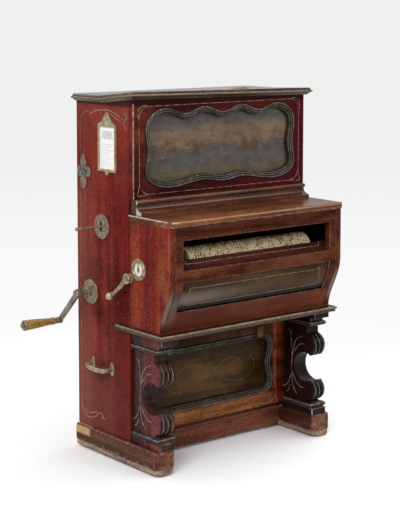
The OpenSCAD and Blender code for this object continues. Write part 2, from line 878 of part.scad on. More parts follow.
module upper_frame() {
    color("maroon") difference() {
        box([-half_w, -front_d, front_z], [half_w, -case_d, case_h]);
        forward(case_d - 1, front_d + 1) polygon(scallop_points(0));
    }
}

module scalloped_moulding() {
    color("gray") {
        forward(case_d + picture_t, front_d) difference() {
            polygon(scallop_points(0));
            polygon(scallop_points(moulding_w));
        }
        forward(front_d, front_d + moulding_out) difference() {
            polygon(scallop_points(0));
            polygon(scallop_points(moulding_w / 2));
        }
    }
}

module picture_panel() {
    color("slategray") forward(case_d, case_d + picture_t) polygon(scallop_points(0));
}

// Lid in two leaves: the front one is warped and stands proud at its left

// Section of the rear leaf across the case, with its moulded edges
function lid_section() =
    let (xi = half_w + edge_gap, z1 = case_h, zl = case_h - lid_lip)
    [[-lid_x + 4, lid_z], [lid_x - 4, lid_z], [lid_x, lid_z - 9], [lid_x, lid_z - 13],
        [xi + 7, zl], [xi, zl], [xi, z1], [-xi, z1], [-xi, zl], [-xi - 7, zl],
        [-lid_x, lid_z - 13], [-lid_x, lid_z - 9]];

// Lift of the front leaf's front edge at a place across the case
function lift_at(x) = (lift_left + lift_right) / 2 + (lift_right - lift_left) * x / (2 * lid_x);

module rear_lid() {
    color("dimgray") forward(0, lid_hinge - edge_gap) polygon(lid_section());
}

module front_lid() {
    y0 = -lid_hinge - edge_gap;
    y1 = -front_d - lid_out;
    rows = len(lid_rings);
    points = [for (r = lid_rings, p = [[-lid_x + r[0], y0], [-lid_x + r[0], y1 + r[0]],
            [lid_x - r[0], y1 + r[0]], [lid_x - r[0], y0]])
        [p[0], p[1], r[1] + lift_at(p[0]) * (p[1] - y0) / (y1 - y0)]];
    sides = [for (k = [0:rows - 2], i = [0:2]) each let (a = 4 * k + i, c = a + 4)
        [[a, a + 1, c + 1], [a, c + 1, c]]];
    n = 4 * rows;
    back = concat([for (k = [0:rows - 1]) 4 * k], [for (k = [rows - 1:-1:0]) 4 * k + 3]);
    color("dimgray") polyhedron(points, concat([[3, 2, 1], [3, 1, 0], [n - 4, n - 3, n - 2],
        [n - 4, n - 2, n - 1], back], sides));
}

module lid_hinges() {
    leaf_l = 24;
    leaf_w = 60;
    leaf_t = 1.6;
    color("goldenrod") for (x = [-half_w * 0.6, half_w * 0.6]) {
        box([x - leaf_w / 2, -lid_hinge, lid_z], [x + leaf_w / 2, -lid_hinge + leaf_l, lid_z + leaf_t]);
        rod_x([-lid_hinge, knuckle_z], knuckle_r, x - leaf_w / 2, x + leaf_w / 2);
    }
}

// Brass fittings on the left side

module card_frame() {
    y0 = -card_d - card_w / 2;
    y1 = -card_d + card_w / 2;
    z0 = card_z - card_h / 2;
    z1 = card_z + card_h / 2;
    color("goldenrod") along_x(-half_w - frame_t, -half_w) {
        difference() {
            polygon([[y0, z0], [y1, z0], [y1, z1], [y0, z1]]);
            polygon([[y0 + rim, z0 + rim], [y1 - rim, z0 + rim], [y1 - rim, z1 - rim],
                [y0 + rim, z1 - rim]]);
        }
        difference() {
            union() {
                polygon([[y0, z1], [y1, z1], [-card_d + 26, z1 + 10], [-card_d + 10, z1 + 30],
                    [-card_d - 10, z1 + 30], [-card_d - 26, z1 + 10]]);
                translate([-card_d, z1 + 28]) circle(r = 9);
            }
            translate([-card_d, z1 + 29]) circle(r = 3);
        }
        translate([-card_d, z0 - 4]) circle(r = 7);
    }
}

module card() {
    paper = 1;
    color("ivory") box([-half_w - paper, -card_d - card_w / 2 + rim, card_z - card_h / 2 + rim],
        [-half_w, -card_d + card_w / 2 - rim, card_z + card_h / 2 - rim]);
}

module lock_plate() {
    c = [-lock_d, lock_z];
    color("goldenrod") along_x(-half_w - lock_t, -half_w) difference() {
        union() {
            translate(c) circle(r = 22);
            translate(c + [0, 30]) circle(r = 16);
            translate(c - [0, 30]) circle(r = 16);
            translate(c) polygon([[-9, -54], [9, -54], [14, -30], [14, 30], [7, 50], [0, 56], [-7, 50],
                [-14, 30], [-14, -30]]);
        }
        translate(c) circle(r = lock_r + fit);
    }
}

module lock_key() {
    c = [-lock_d, lock_z];
    x = -half_w - lock_t;
    color("darkkhaki") {
        rod_x(c, lock_r, x - 14, -in_x + 6);
        rod_x(c, lock_r + 2.5, x - 9, x - 5);
        box([-in_x + 1, -lock_d - 3, lock_z - 18], [-in_x + 6, -lock_d + 3, lock_z]);
        along_x(x - 20, x - 14) difference() {
            union() {
                for (a = [90, 210, 330]) translate(c + 11 * [cos(a), sin(a)]) circle(r = 9.5);
                translate(c) circle(r = 7);
            }
            for (a = [90, 210, 330]) translate(c + 11.5 * [cos(a), sin(a)]) circle(r = 5);
        }
    }
}

module side_plate(c) {
    r = plate_d / 2;
    turned_left(c, -half_w) polygon([[0, 0], [r, 0], [r, plate_t * 0.5], [r - 2, plate_t], [r - 7, plate_t],
        [r - 9, plate_t * 0.7], [r - 16, plate_t * 0.7], [r - 20, plate_t * 1.2], [0, plate_t * 1.2]]);
}

module stop_plate() {
    color("darkkhaki") difference() {
        side_plate([-stop_d, stop_z]);
        stop_slot(-half_w - plate_t * 2, -half_w + 1);
    }
}

module stop_lever() {
    c = [-stop_d, stop_z];
    color("darkkhaki") difference() {
        union() {
            rod_x(c, stop_r, -half_w - stop_l, stop_tip);
            translate([-half_w - stop_l, c[0], c[1]]) sphere(r = stop_r + 0.6);
            translate([stop_tip, c[0], c[1]]) sphere(r = tip_r);
            box([stop_pivot - 6, c[0] - 6, c[1] - 6], [stop_pivot + 6, c[0] + 6, c[1] + 6]);
        }
        translate([stop_pivot, c[0] - 10, c[1]]) rotate([-90, 0, 0]) cylinder(r = pivot_r + fit, h = 20);
    }
}

module mute_rail() {
    z1 = rail_z0 + 24;
    color("darkred") {
        box([-guide_x + slip, rail_y - 26, rail_z0], [guide_x - slip, rail_y - 10, z1]);
        box([-board_x, rail_y - 10, rail_z0 + 4], [board_x, rail_y, z1 - 4]);
        box([stop_tip - 8, -stop_d - 7, stop_z + tip_r + slip], [stop_tip + 8, -stop_d + 7, rail_z0]);
        for (sx = [-1, 1]) box([sx * (guide_x + 4) - 4 - slip, rail_y - 24, rail_z0 + 6],
            [sx * (guide_x + 4) + 4 + slip, rail_y - 12, z1 - 6]);
    }
}

// Blocks on the side boards that guide the mute rail; the left one holds the stop lever's pin
module rail_guides() {
    z1 = rail_z0 + 44;
    color("peru") {
        difference() {
            box([-in_x, guide_y[0], stop_z - 30], [-guide_x, guide_y[1], z1]);
            box([-guide_x - 8 - slip * 2, rail_y - 24 - slip, rail_z0 - 14],
                [-guide_x + 1, rail_y - 12 + slip, z1 + 1]);
            box([-in_x - 1, -stop_d - 8, stop_z - 20], [-guide_x + 1, -stop_d + 8, stop_z + 20]);
        }
        translate([stop_pivot, -stop_d - 8, stop_z]) rotate([-90, 0, 0]) cylinder(r = pivot_r, h = 16);
        difference() {
            box([guide_x, guide_y[0], rail_z0 - 20], [in_x, guide_y[1], z1]);
            box([guide_x - 1, rail_y - 24 - slip, rail_z0 - 14],
                [guide_x + 8 + slip * 2, rail_y - 12 + slip, z1 + 1]);
        }
    }
}

// Crank: plate, shaft with its pulley, arm and grip

module crank_plate() {
    color("darkkhaki") difference() {
        side_plate(crank_c);
        rod_x(crank_c, crank_r + fit, -half_w - plate_t * 2, -half_w + 1);
    }
}

module crank_shaft() {
    collar_x = -half_w - plate_t * 1.2 - slip;
    color("silver") {
        rod_x(crank_c, crank_r, shaft_x, layer_belt + belt_w);
        rod_x(crank_c, crank_r + 5, collar_x - 10, collar_x);
        rod_x(crank_c, pulley_r1, layer_belt, layer_belt + belt_w);
    }
}

module crank_arm() {
    v = [sin(crank_a), cos(crank_a)];
    color("gray") difference() {
        union() {
            along_x(arm_x - arm_t, arm_x) {
                polygon([crank_c + 9 * v, crank_end + 7 * v, crank_end - 7 * v, crank_c - 9 * v]);
                translate(crank_c) circle(r = boss_r);
                translate(crank_end) circle(r = boss_r * 0.8);
            }
            turned_left(crank_c, arm_x + 8)
                polygon([[0, 0], [boss_r - 3, 0], [boss_r + 1, 5], [boss_r + 1, arm_t + 8],
                    [boss_r - 3, arm_t + 14], [0, arm_t + 17]]);
            rod_x(crank_end, grip_r, arm_x - arm_t - spindle_l, arm_x);
            rod_x(crank_end, grip_r + 3, arm_x - arm_t - spindle_l - 4, arm_x - arm_t - spindle_l);
        }
        rod_x(crank_c, crank_r + slip, shaft_x - slip, -half_w);
    }
}

module crank_grip() {
    r = grip_d / 2;
    x0 = arm_x - arm_t - grip_gap;
    bore = grip_r + fit;
    color("peru") turned_left(crank_end, x0)
        polygon(concat([[bore, 0], [r * 0.55, 0], [r * 0.6, 12]],
            [for (i = [0:10]) [r * (0.58 + 0.42 * sin(90 * i / 10)), 14 + (grip_l * 0.7 - 14) * i / 10]],
            arc([r * 0.55, grip_l * 0.7], r * 0.45, grip_l * 0.3, 9, 90, 9), [[bore, grip_l]]));
}

// Belt and idlers between the crank and the barrel

module belt_plan(t) {
    r1 = pulley_r1 + t;
    r2 = pulley_r2 + t;
    d = idler1_c - crank_c;
    a = atan2(d[1], d[0]);
    b = acos((r1 - r2) / norm(d));
    polygon(concat(arc(crank_c, r1, r1, a + b, a + 360 - b, 24), arc(idler1_c, r2, r2, a - b, a + b, 48)));
}

module drive_belt() {
    color("sienna") along_x(layer_belt + 1, layer_belt + belt_w - 1) difference() {
        belt_plan(belt_t + slip);
        belt_plan(slip);
    }
}

module first_idler() {
    color("goldenrod") {
        rod_x(idler1_c, spindle_r, -in_x - board_t * 0.5, layer_wheel + gear_w);
        rod_x(idler1_c, pulley_r2, layer_belt, layer_belt + belt_w);
        gear_x(idler1_c, gear_m, pinion_n, 0, layer_wheel, layer_wheel + gear_w);
    }
}

module second_idler() {
    color("goldenrod") {
        rod_x(idler2_c, spindle_r, -in_x - board_t * 0.5, layer_wheel);
        gear_x(idler2_c, gear_m, wheel_n, wheel_phase, layer_wheel, layer_wheel + gear_w);
        gear_x(idler2_c, gear_m, pinion_n, 0, layer_wheel + gear_w,
            barrel_x0 - post_t - post_gap - shift - 0.5);
    }
}

// Barrel, its arbor with the barrel wheel, and the cradle that shifts it

module barrel() {
    color("wheat") difference() {
        rod_x(barrel_c, barrel_r, barrel_x0, barrel_x1);
        rod_x(barrel_c, arbor_r, barrel_x0 - 1, barrel_x1 + 1);
    }
}

module barrel_arbor() {
    color("silver") {
        rod_x(barrel_c, arbor_r, layer_barrel - 2, barrel_x1 + post_gap + post_t + 4);
        gear_x(barrel_c, gear_m, barrel_n, barrel_phase, layer_barrel, layer_barrel + gear_w + 2);
    }
}

module barrel_cradle() {
    x0 = barrel_x0 - post_gap - post_t;
    x1 = barrel_x1 + post_gap;
    foot_z = bed_z - slide_deep;
    arm_z = box_z1 - 50;
    leg_y = -dial_d - 10;
    color("peru") difference() {
        union() {
            box([x0, slide_y, foot_z], [x1 + post_t, slide_y + slide_w, bed_z + 14]);
            for (x = [x0, x1]) {
                box([x, slide_y, bed_z], [x + post_t, slide_y + 40, barrel_z]);
                rod_x(barrel_c, arbor_r + 12, x, x + post_t);
            }
            box([x0, slide_y, barrel_z], [x0 + post_t, slide_y + 40, arm_z + 14]);
            box([x0, slide_y, arm_z], [x0 + post_t, leg_y + 20, arm_z + 14]);
            box([leg_x, leg_y, arm_z], [x0 + post_t, leg_y + 20, arm_z + 14]);
            box([leg_x, leg_y, dial_z + snail_r + 3], [leg_x + 6, leg_y + 20, arm_z]);
            box([leg_x, -dial_d - 2, dial_z + 6], [leg_x + 6, -dial_d + 2, dial_z + snail_r + 4]);
        }
        for (x = [x0, x1]) rod_x(barrel_c, arbor_r + fit, x - 1, x + post_t + 1);
    }
}

// Tune change: lever with its gear, dial, and pointer with its pinion and snail

module tune_lever() {
    u = [cos(-41), sin(-41)];
    v = [-sin(-41), cos(-41)];
    tip = tune_c + tune_l * u;
    color("darkkhaki") {
        rod_x(tune_c, tune_r, lever_x, layer_tune + tune_w);
        turned_left(tune_c, -half_w - slip)
            polygon([[0, 0], [collar_r, 0], [collar_r, 5], [15, 8], [15, 13], [11, 17], [11, 30],
                [7, 34], [0, 34]]);
        along_x(lever_x - 5, lever_x + 3) {
            polygon([tune_c + 9 * v, tune_c + tune_l * 0.45 * u + 5 * v, tip - 14 * u + 2 * v, tip + 4 * v,
                tip - 4 * v, tip - 16 * u - 6 * v, tune_c + tune_l * 0.45 * u - 5 * v, tune_c - 9 * v]);
            translate(tip) circle(r = 5);
        }
        translate([lever_x - 2, tip[0], tip[1]]) sphere(r = ball_r);
        gear_x(tune_c, tune_m, tune_n, tune_phase, layer_tune, layer_tune + tune_w);
    }
}

module dial() {
    r = bezel_d / 2;
    color("darkkhaki") difference() {
        turned_left(dial_c, -half_w)
            polygon([[0, 0], [r, 0], [r, 4], [r - 3, 8], [r - 9, 8], [r - 11, 4], [0, 4]]);
        rod_x(dial_c, dial_r + fit, -half_w - 10, -half_w + 1);
    }
}

module dial_pointer() {
    face_x = -half_w - 4 - slip;
    follow = 90;
    color("black") {
        rod_x(dial_c, dial_r, face_x - 3, layer_snail);
        along_x(face_x - 2, face_x) translate(dial_c) {
            circle(r = 5);
            polygon([[-2.5, 0], [-0.6, 20], [0.6, 20], [2.5, 0], [1.5, -10], [-1.5, -10]]);
        }
        gear_x(dial_c, tune_m, dial_n, dial_phase, layer_tune, layer_tune + tune_w);
        for (i = [0:snail_steps - 1]) {
            a0 = follow - snail_turn / 2 + snail_turn * i / snail_steps;
            h = 0.5 + 2 * shift * (i + 0.5) / snail_steps;
            along_x(layer_snail - 0.5, layer_snail + h) translate(dial_c)
                polygon(concat([[0, 0]],
                    arc([0, 0], snail_r, snail_r, a0, a0 + snail_turn / snail_steps, 4)));
        }
    }
}

// Carrying handles

module carry_handles() {
    lug_r = 15;
    bar_r = 7;
    post_r = 5.5;
    y0 = -handle_d - handle_l / 2 + lug_r;
    y1 = -handle_d + handle_l / 2 - lug_r;
    color("darkkhaki") both_sides() {
        for (y = [y0, y1]) {
            rod_x([y, handle_z], lug_r, -half_w - 4, -half_w);
            rod_x([y, handle_z], post_r, -half_w - handle_off, -half_w - 3);
        }
        translate([-half_w - handle_off, y0 - 9, handle_z]) rotate([-90, 0, 0])
            cylinder(r = bar_r, h = y1 - y0 + 18);
    }
}

// Hammer rail with its pivot wire, and the hammers

module hammer_rail() {
    end_x = board_x + 6;
    rail_z = pivot_z - 40;
    color("dimgray") {
        box([-end_x - 12, -pivot_d - 15, rail_z], [end_x + 12, -pivot_d + 15, rail_z + 25]);
        for (sx = [-1, 1])
            box([sx * (end_x + 6) - 6, -pivot_d + 15, rail_z],
                [sx * (end_x + 6) + 6, -frame_d, rail_z + 25]);
        for (x = [-end_x, 0, end_x])
            box([x - 3, -pivot_d - 8, rail_z + 20], [x + 3, -pivot_d + 8, pivot_z + 8]);
        rod_x([-pivot_d, pivot_z], wire_r, -end_x - 3, end_x + 3);
    }
}

module hammer_profile() {
    tip = -string_d - 2 * string_r - hammer_gap;
    nose = 9;
    tail = -barrel_d + barrel_r + 3.5;
    z1 = pivot_z + hammer_h;
    difference() {
        union() {
            polygon([[tail, pivot_z - 8], [tail, pivot_z + 2], [-pivot_d - 6, pivot_z + 7],
                [-pivot_d - 6, z1 + nose], [-pivot_d + 6, z1 + nose], [-pivot_d + 6, z1 + 5],
                [tip - nose, z1 + 5], [tip - nose, z1 - 5], [-pivot_d + 6, z1 - 5],
                [-pivot_d + 6, pivot_z - 8]]);
            translate([tip - nose, z1]) circle(r = nose);
        }
        translate([-pivot_d, pivot_z]) circle(r = wire_r + fit);
    }
}

module hammers() {
    color("tan") for (i = [0:notes - 1])
        along_x(note_x(i) - hammer_t / 2, note_x(i) + hammer_t / 2) hammer_profile();
}

left_side_board();
right_side_board();
back_boards();
back_frame();
soundboard();
wrest_plank();
tuning_pins();
strings();
bottom_board();
plinths();
skids();
glides();
consoles();
console_caps();
console_bases();
apron_rail();
lower_frame();
lower_moulding();
lower_field();
left_turn_button();
right_turn_button();
keybed();
keybed_moulding();
left_cheek();
right_cheek();
key_front();
curved_panel();
barrel_guard();
key_top();
ledge_moulding();
upper_frame();
scalloped_moulding();
picture_panel();
rear_lid();
front_lid();
lid_hinges();
card_frame();
card();
lock_plate();
lock_key();
stop_plate();
stop_lever();
mute_rail();
rail_guides();
crank_plate();
crank_shaft();
crank_arm();
crank_grip();
drive_belt();
first_idler();
second_idler();
barrel();
barrel_arbor();
barrel_cradle();
tune_lever();
dial();
dial_pointer();
carry_handles();
hammer_rail();
hammers();
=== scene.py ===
import random
from math import atan2, cos, hypot, pi, radians, sin, sqrt

import bmesh
import bpy
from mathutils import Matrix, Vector


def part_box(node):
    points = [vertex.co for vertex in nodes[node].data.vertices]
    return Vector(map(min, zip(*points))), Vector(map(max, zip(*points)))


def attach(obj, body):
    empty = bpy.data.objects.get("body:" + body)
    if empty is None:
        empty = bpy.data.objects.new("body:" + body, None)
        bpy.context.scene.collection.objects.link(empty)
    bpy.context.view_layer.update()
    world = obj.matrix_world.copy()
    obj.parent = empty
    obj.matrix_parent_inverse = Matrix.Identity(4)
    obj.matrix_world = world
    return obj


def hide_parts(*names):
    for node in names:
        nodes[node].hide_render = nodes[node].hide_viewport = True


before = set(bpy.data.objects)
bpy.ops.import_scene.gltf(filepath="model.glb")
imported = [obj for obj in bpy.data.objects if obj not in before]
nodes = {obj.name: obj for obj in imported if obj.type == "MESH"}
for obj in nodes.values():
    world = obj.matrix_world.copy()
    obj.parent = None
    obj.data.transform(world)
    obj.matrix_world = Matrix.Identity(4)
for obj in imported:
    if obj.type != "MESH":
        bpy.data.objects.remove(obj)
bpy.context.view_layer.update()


# Studio: a pale seamless floor, a near-white surround and soft lights from the front, above and behind.
# The camera stands where the photograph was taken from, a little above the lid, with a long lens.
picture_height, focal_pixels, film_width = 510, 1412.3, 36.0
look_down, look_right = 0.1021, 0.6757
shade_grey, sheet_white = (0.56, 0.56, 0.57), 0.865
case_middle = Vector((0.0, -0.2, 0.6))
camera_data = bpy.data.cameras.new("photo_camera")
camera_data.sensor_width = film_width
camera_data.lens = focal_pixels * film_width / picture_height
camera_data.shift_y = -0.2
camera = bpy.data.objects.new("photo_camera", camera_data)
camera.location = (-2.8515, -3.7496, 1.4155)
camera.rotation_euler = (pi / 2 - look_down, 0.0, -look_right)
bpy.context.scene.collection.objects.link(camera)
bpy.context.scene.camera = camera
bpy.context.scene.view_settings.view_transform = "Standard"


def softbox(name, place, size, power):
    data = bpy.data.lights.new(name, "AREA")
    data.shape = "RECTANGLE"
    data.size, data.size_y = size
    data.energy = power
    lamp = bpy.data.objects.new(name, data)
    lamp.location = place
    lamp.rotation_mode = "QUATERNION"
    lamp.rotation_quaternion = (case_middle - Vector(place)).to_track_quat("-Z", "Y")
    bpy.context.scene.collection.objects.link(lamp)


softbox("key_softbox", (-3.2, -2.4, 3.0), (2.0, 2.0), 116.0)
softbox("front_softbox", (1.4, -4.4, 2.6), (2.2, 1.6), 60.0)
softbox("top_softbox", (1.8, -0.6, 4.2), (2.6, 2.6), 70.0)
softbox("rim_softbox", (-1.0, 3.8, 3.6), (2.4, 1.6), 45.0)

world = bpy.data.worlds.new("surround")
bpy.context.scene.world = world
world.use_nodes = True
tree = world.node_tree
facing = tree.nodes.new("ShaderNodeVectorMath")
facing.operation = "DOT_PRODUCT"
facing.inputs[1].default_value = (sin(look_right), cos(look_right), 0.0)
tree.links.new(tree.nodes.new("ShaderNodeTexCoord").outputs["Generated"], facing.inputs[0])
sweep = tree.nodes.new("ShaderNodeValToRGB")
for stop, position, tone in zip(sweep.color_ramp.elements, (0.15, 0.60), (shade_grey, 3 * (sheet_white,))):
    stop.position = position
    stop.color = (*tone, 1.0)
tree.links.new(facing.outputs["Value"], sweep.inputs["Fac"])
tree.links.new(sweep.outputs["Color"], tree.nodes["Background"].inputs["Color"])


class Finish:
    """A procedural material under construction: nodes made and linked one after another."""

    def __init__(self, name):
        self.material = bpy.data.materials.new(name)
        self.material.use_nodes = True
        self.tree = self.material.node_tree
        self.shader = self.tree.nodes["Principled BSDF"]
        self.place = self.tree.nodes.new("ShaderNodeTexCoord").outputs["Object"]
        self.colour = None

    def node(self, kind, **settings):
        made = self.tree.nodes.new(kind)
        for key, value in settings.items():
            setattr(made, key, value)
        return made

    def link(self, source, target):
        self.tree.links.new(source, target)

    def set(self, socket, value):
        self.shader.inputs[socket].default_value = value

    def feed(self, value, socket):
        if isinstance(value, bpy.types.NodeSocket):
            self.link(value, socket)
        elif isinstance(value, tuple):
            socket.default_value = (*value, 1.0)
        else:
            socket.default_value = value

    def noise(self, scale, stretch=(1, 1, 1), detail=4.0, rough=0.55, shift=(0, 0, 0), distort=0.0):
        space = self.node("ShaderNodeMapping")
        space.inputs["Scale"].default_value = stretch
        space.inputs["Location"].default_value = shift
        self.link(self.place, space.inputs["Vector"])
        made = self.node("ShaderNodeTexNoise")
        settings = {"Scale": scale, "Detail": detail, "Roughness": rough, "Distortion": distort}
        for socket, value in settings.items():
            made.inputs[socket].default_value = value
        self.link(space.outputs[0], made.inputs["Vector"])
        return made.outputs["Fac"]

    def ramp(self, value, *stops):
        made = self.node("ShaderNodeValToRGB")
        band = made.color_ramp
        while len(band.elements) < len(stops):
            band.elements.new(0.5)
        for element, (position, colour) in zip(band.elements, stops):
            element.position = position
            shade = colour if isinstance(colour, tuple) else (colour, colour, colour)
            element.color = (*shade, 1.0)
        self.link(value, made.inputs["Fac"])
        return made.outputs["Color"]

    def patches(self, scale, start, end, low=0.0, high=1.0, **grain):
        """Cloudy patches: noise that climbs from the low value to the high one between start and end."""
        return self.ramp(self.noise(scale, **grain), (start, low), (end, high))

    def blend(self, amount, under, over, how="MIX"):
        share, lower, upper, result = 0, 6, 7, 2
        made = self.node("ShaderNodeMix", data_type="RGBA", blend_type=how)
        self.feed(amount, made.inputs[share])
        self.feed(under, made.inputs[lower])
        self.feed(over, made.inputs[upper])
        return made.outputs[result]

    def tint(self, colour, factor):
        return self.blend(1.0, colour, factor, "MULTIPLY")

    def cover(self, colour, *masks):
        """Lays a colour over the one so far, as strongly as the masks multiplied together say."""
        self.colour = self.blend(self.times(*masks), self.colour, colour)

    def shade(self, factor, *masks):
        """Multiplies the colour so far by a factor, as strongly as the masks say."""
        self.cover(self.tint(self.colour, factor), *masks)

    def math(self, operation, first, second=0.0):
        made = self.node("ShaderNodeMath", operation=operation)
        self.feed(first, made.inputs[0])
        self.feed(second, made.inputs[1])
        return made.outputs[0]

    def times(self, first, *others):
        for other in others:
            first = self.math("MULTIPLY", first, other)
        return first

    def part(self, vector, axis):
        split = self.node("ShaderNodeSeparateXYZ")
        self.link(vector, split.inputs[0])
        return split.outputs["XYZ".index(axis)]

    def along(self, axis):
        return self.part(self.place, axis)

    def facing(self, axis):
        """How squarely the surface faces along an axis, 0 to 1, either way round."""
        return self.math("ABSOLUTE", self.part(self.node("ShaderNodeTexCoord").outputs["Normal"], axis))

    def ends(self, start=0.8):
        """1 on the faces that look squarely left or right."""
        return self.rise(self.facing("X"), start, 0.95)

    def near(self, point, inner, outer):
        """1 within the inner distance of a point, fading to 0 at the outer one."""
        gap = self.node("ShaderNodeVectorMath", operation="DISTANCE")
        self.link(self.place, gap.inputs[0])
        gap.inputs[1].default_value = point
        return self.rise(gap.outputs["Value"], outer, inner)

    def rise(self, value, start, end):
        """0 before start and 1 past end, or the other way round where end is the smaller."""
        made = self.node("ShaderNodeMapRange", interpolation_type="SMOOTHSTEP")
        made.inputs["From Min"].default_value = min(start, end)
        made.inputs["From Max"].default_value = max(start, end)
        made.inputs["To Min"].default_value = 0.0 if start < end else 1.0
        made.inputs["To Max"].default_value = 1.0 if start < end else 0.0
        self.link(value, made.inputs["Value"])
        return made.outputs[0]

    def band(self, axis, start, end):
        return self.rise(self.along(axis), start, end)

    def dust(self, pale, share):
        """Sparse fine pale specks and nicks over a finish."""
        self.cover(pale, self.patches(430.0, 0.655, 0.72, high=share, detail=1.0, rough=0.4, shift=(9, 4, 2)))

    def relief(self, height, strength, distance=0.001):
        made = self.node("ShaderNodeBump")
        made.inputs["Strength"].default_value = strength
        made.inputs["Distance"].default_value = distance
        self.link(height, made.inputs["Height"])
        self.link(made.outputs[0], self.shader.inputs["Normal"])

    def finish(self, colour, roughness):
        self.link(colour, self.shader.inputs["Base Color"])
        self.link(roughness, self.shader.inputs["Roughness"])
        return self.material


def around(count):
    """Evenly spaced angles round a full turn."""
    return [2 * pi * k / count for k in range(count)]


class Shape:
    """Points and faces of one piece, gathered from swept and turned forms."""

    def __init__(self):
        self.points, self.faces, self.marks = [], [], []

    def grid(self, rows, wrap=False, caps=False, marks=None):
        """Skins rows of points with quads.

        wrap closes each row, caps fills the end rows, and marks picks the material of each band between rows.
        """
        start, count = len(self.points), len(rows[0])
        for row in rows:
            self.points.extend(row)
        for r in range(len(rows) - 1):
            a, b = start + r * count, start + (r + 1) * count
            for i in range(count if wrap else count - 1):
                j = (i + 1) % count
                self.faces.append((a + i, a + j, b + j, b + i))
                self.marks.append(marks[r] if marks else 0)
        if caps:
            self.marks += [0, 0]
            last = start + (len(rows) - 1) * count
            self.faces.append(tuple(range(start + count - 1, start - 1, -1)))
            self.faces.append(tuple(range(last, last + count)))

    def run(self, profile, stations, place):
        """A straight length of one closed profile (a, b), set in the frame by place(station, a, b)."""
        self.grid([[place(s, a, b) for a, b in profile] for s in stations], wrap=True, caps=True)

    def ribbon(self, path, width, rise, place, sink=0.0003):
        """A low strip with sloped sides along a path (a, z) on the surface that place(a, z, height) gives."""
        flat = 0.7
        rows = []
        for i, (a, z) in enumerate(path):
            before, after = path[max(i - 1, 0)], path[min(i + 1, len(path) - 1)]
            da, dz = after[0] - before[0], after[1] - before[1]
            reach = 0.5 * width / (hypot(da, dz) or 1.0)
            na, nz = -dz * reach, da * reach
            rows.append([place(a + s * na, z + s * nz, h)
                         for s, h in ((-1, -sink), (-flat, rise), (flat, rise), (1, -sink))])
        self.grid(rows, wrap=True, caps=True)

    def turned(self, profile, place, sides=20):
        """A lathe form. The profile is (distance along, radius); place(along, u, v) sets it in the frame."""
        self.grid([[place(a, r * cos(t), r * sin(t)) for t in around(sides)] for a, r in profile],
                  wrap=True, caps=True)

    def bead(self, corners, z, radius, lift=lambda x, y: 0.0, crest=(5,)):
        """A half round along corners (x, y, outward x, outward y); crest bands take the second material."""
        steps = bands = 8
        for start, end in zip(corners, corners[1:]):
            rows = [[] for _ in range(bands + 1)]
            for t in (k / steps for k in range(steps + 1)):
                x, y, u, v = (a + (b - a) * t for a, b in zip(start, end))
                for j, row in enumerate(rows):
                    slope = pi * (j / bands - 0.5)
                    out, up = radius * cos(slope), radius * sin(slope)
                    row.append((x + u * out, y + v * out, z + lift(x, y) + up))
            self.grid(rows, marks=[int(k in crest) for k in range(bands)])

    def piece(self, name, material, smooth=True):
        mesh = bpy.data.meshes.new(name)
        mesh.from_pydata([tuple(p) for p in self.points], [], self.faces)
        work = bmesh.new()
        work.from_mesh(mesh)
        bmesh.ops.recalc_face_normals(work, faces=work.faces)
        work.to_mesh(mesh)
        work.free()
        if smooth:
            mesh.polygons.foreach_set("use_smooth", [True] * len(mesh.polygons))
            mesh.set_sharp_from_angle(angle=radians(42))
        for finish in material if isinstance(material, tuple) else (material,):
            mesh.materials.append(finish)
        mesh.polygons.foreach_set("material_index", self.marks)
        made = bpy.data.objects.new(name, mesh)
        bpy.context.scene.collection.objects.link(made)
        return made

    def fit(self, name, material, body, slot, *stands_for, smooth=True):
        made = self.piece(name, material, smooth)
        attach(made, body)
        if stands_for:
            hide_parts(*stands_for)
        return made


paint = Finish("studio_floor")
paint.set("Specular IOR Level", 0.05)
mottle = paint.noise(0.7)
paint.finish(paint.ramp(mottle, (0.3, 0.90), (0.7, 0.93)), paint.ramp(mottle, (0.3, 0.85), (0.7, 0.95)))
away = paint.node("ShaderNodeVectorMath", operation="LENGTH")
paint.link(paint.place, away.inputs[0])
lit_sheet = paint.ramp(paint.rise(away.outputs["Value"], 1.5, 9.0), (0.0, 0.955), (1.0, sheet_white))
lit_part = paint.times(paint.band("Y", -2.2, -1.15), paint.band("X", -2.2, -1.25))
haze = paint.node("ShaderNodeEmission")
paint.link(paint.blend(lit_part, shade_grey, lit_sheet), haze.inputs["Color"])
fade = paint.node("ShaderNodeMixShader")
far_share = paint.rise(away.outputs["Value"], 0.70, 1.8)
for source, socket in zip((far_share, paint.shader.outputs[0], haze.outputs[0]), fade.inputs):
    paint.link(source, socket)
paint.link(fade.outputs[0], paint.tree.nodes["Material Output"].inputs["Surface"])
floor_reach = 40
floor_sheet = Shape()
floor_sheet.grid([[(x, y, 0) for x in (-floor_reach, floor_reach)] for y in (-floor_reach, floor_reach)])
floor_sheet.piece("studio_floor", paint.material, smooth=False)


# Plinth runners, skids and glides: two solid beams with canted front corners that carry the case,
# polished red like the sides, on bare wear strips of softwood and four small iron glides.
GRAIN_ALONG = {"X": (0.06, 1, 1), "Y": (1, 0.06, 1), "Z": (1, 1, 0.06)}


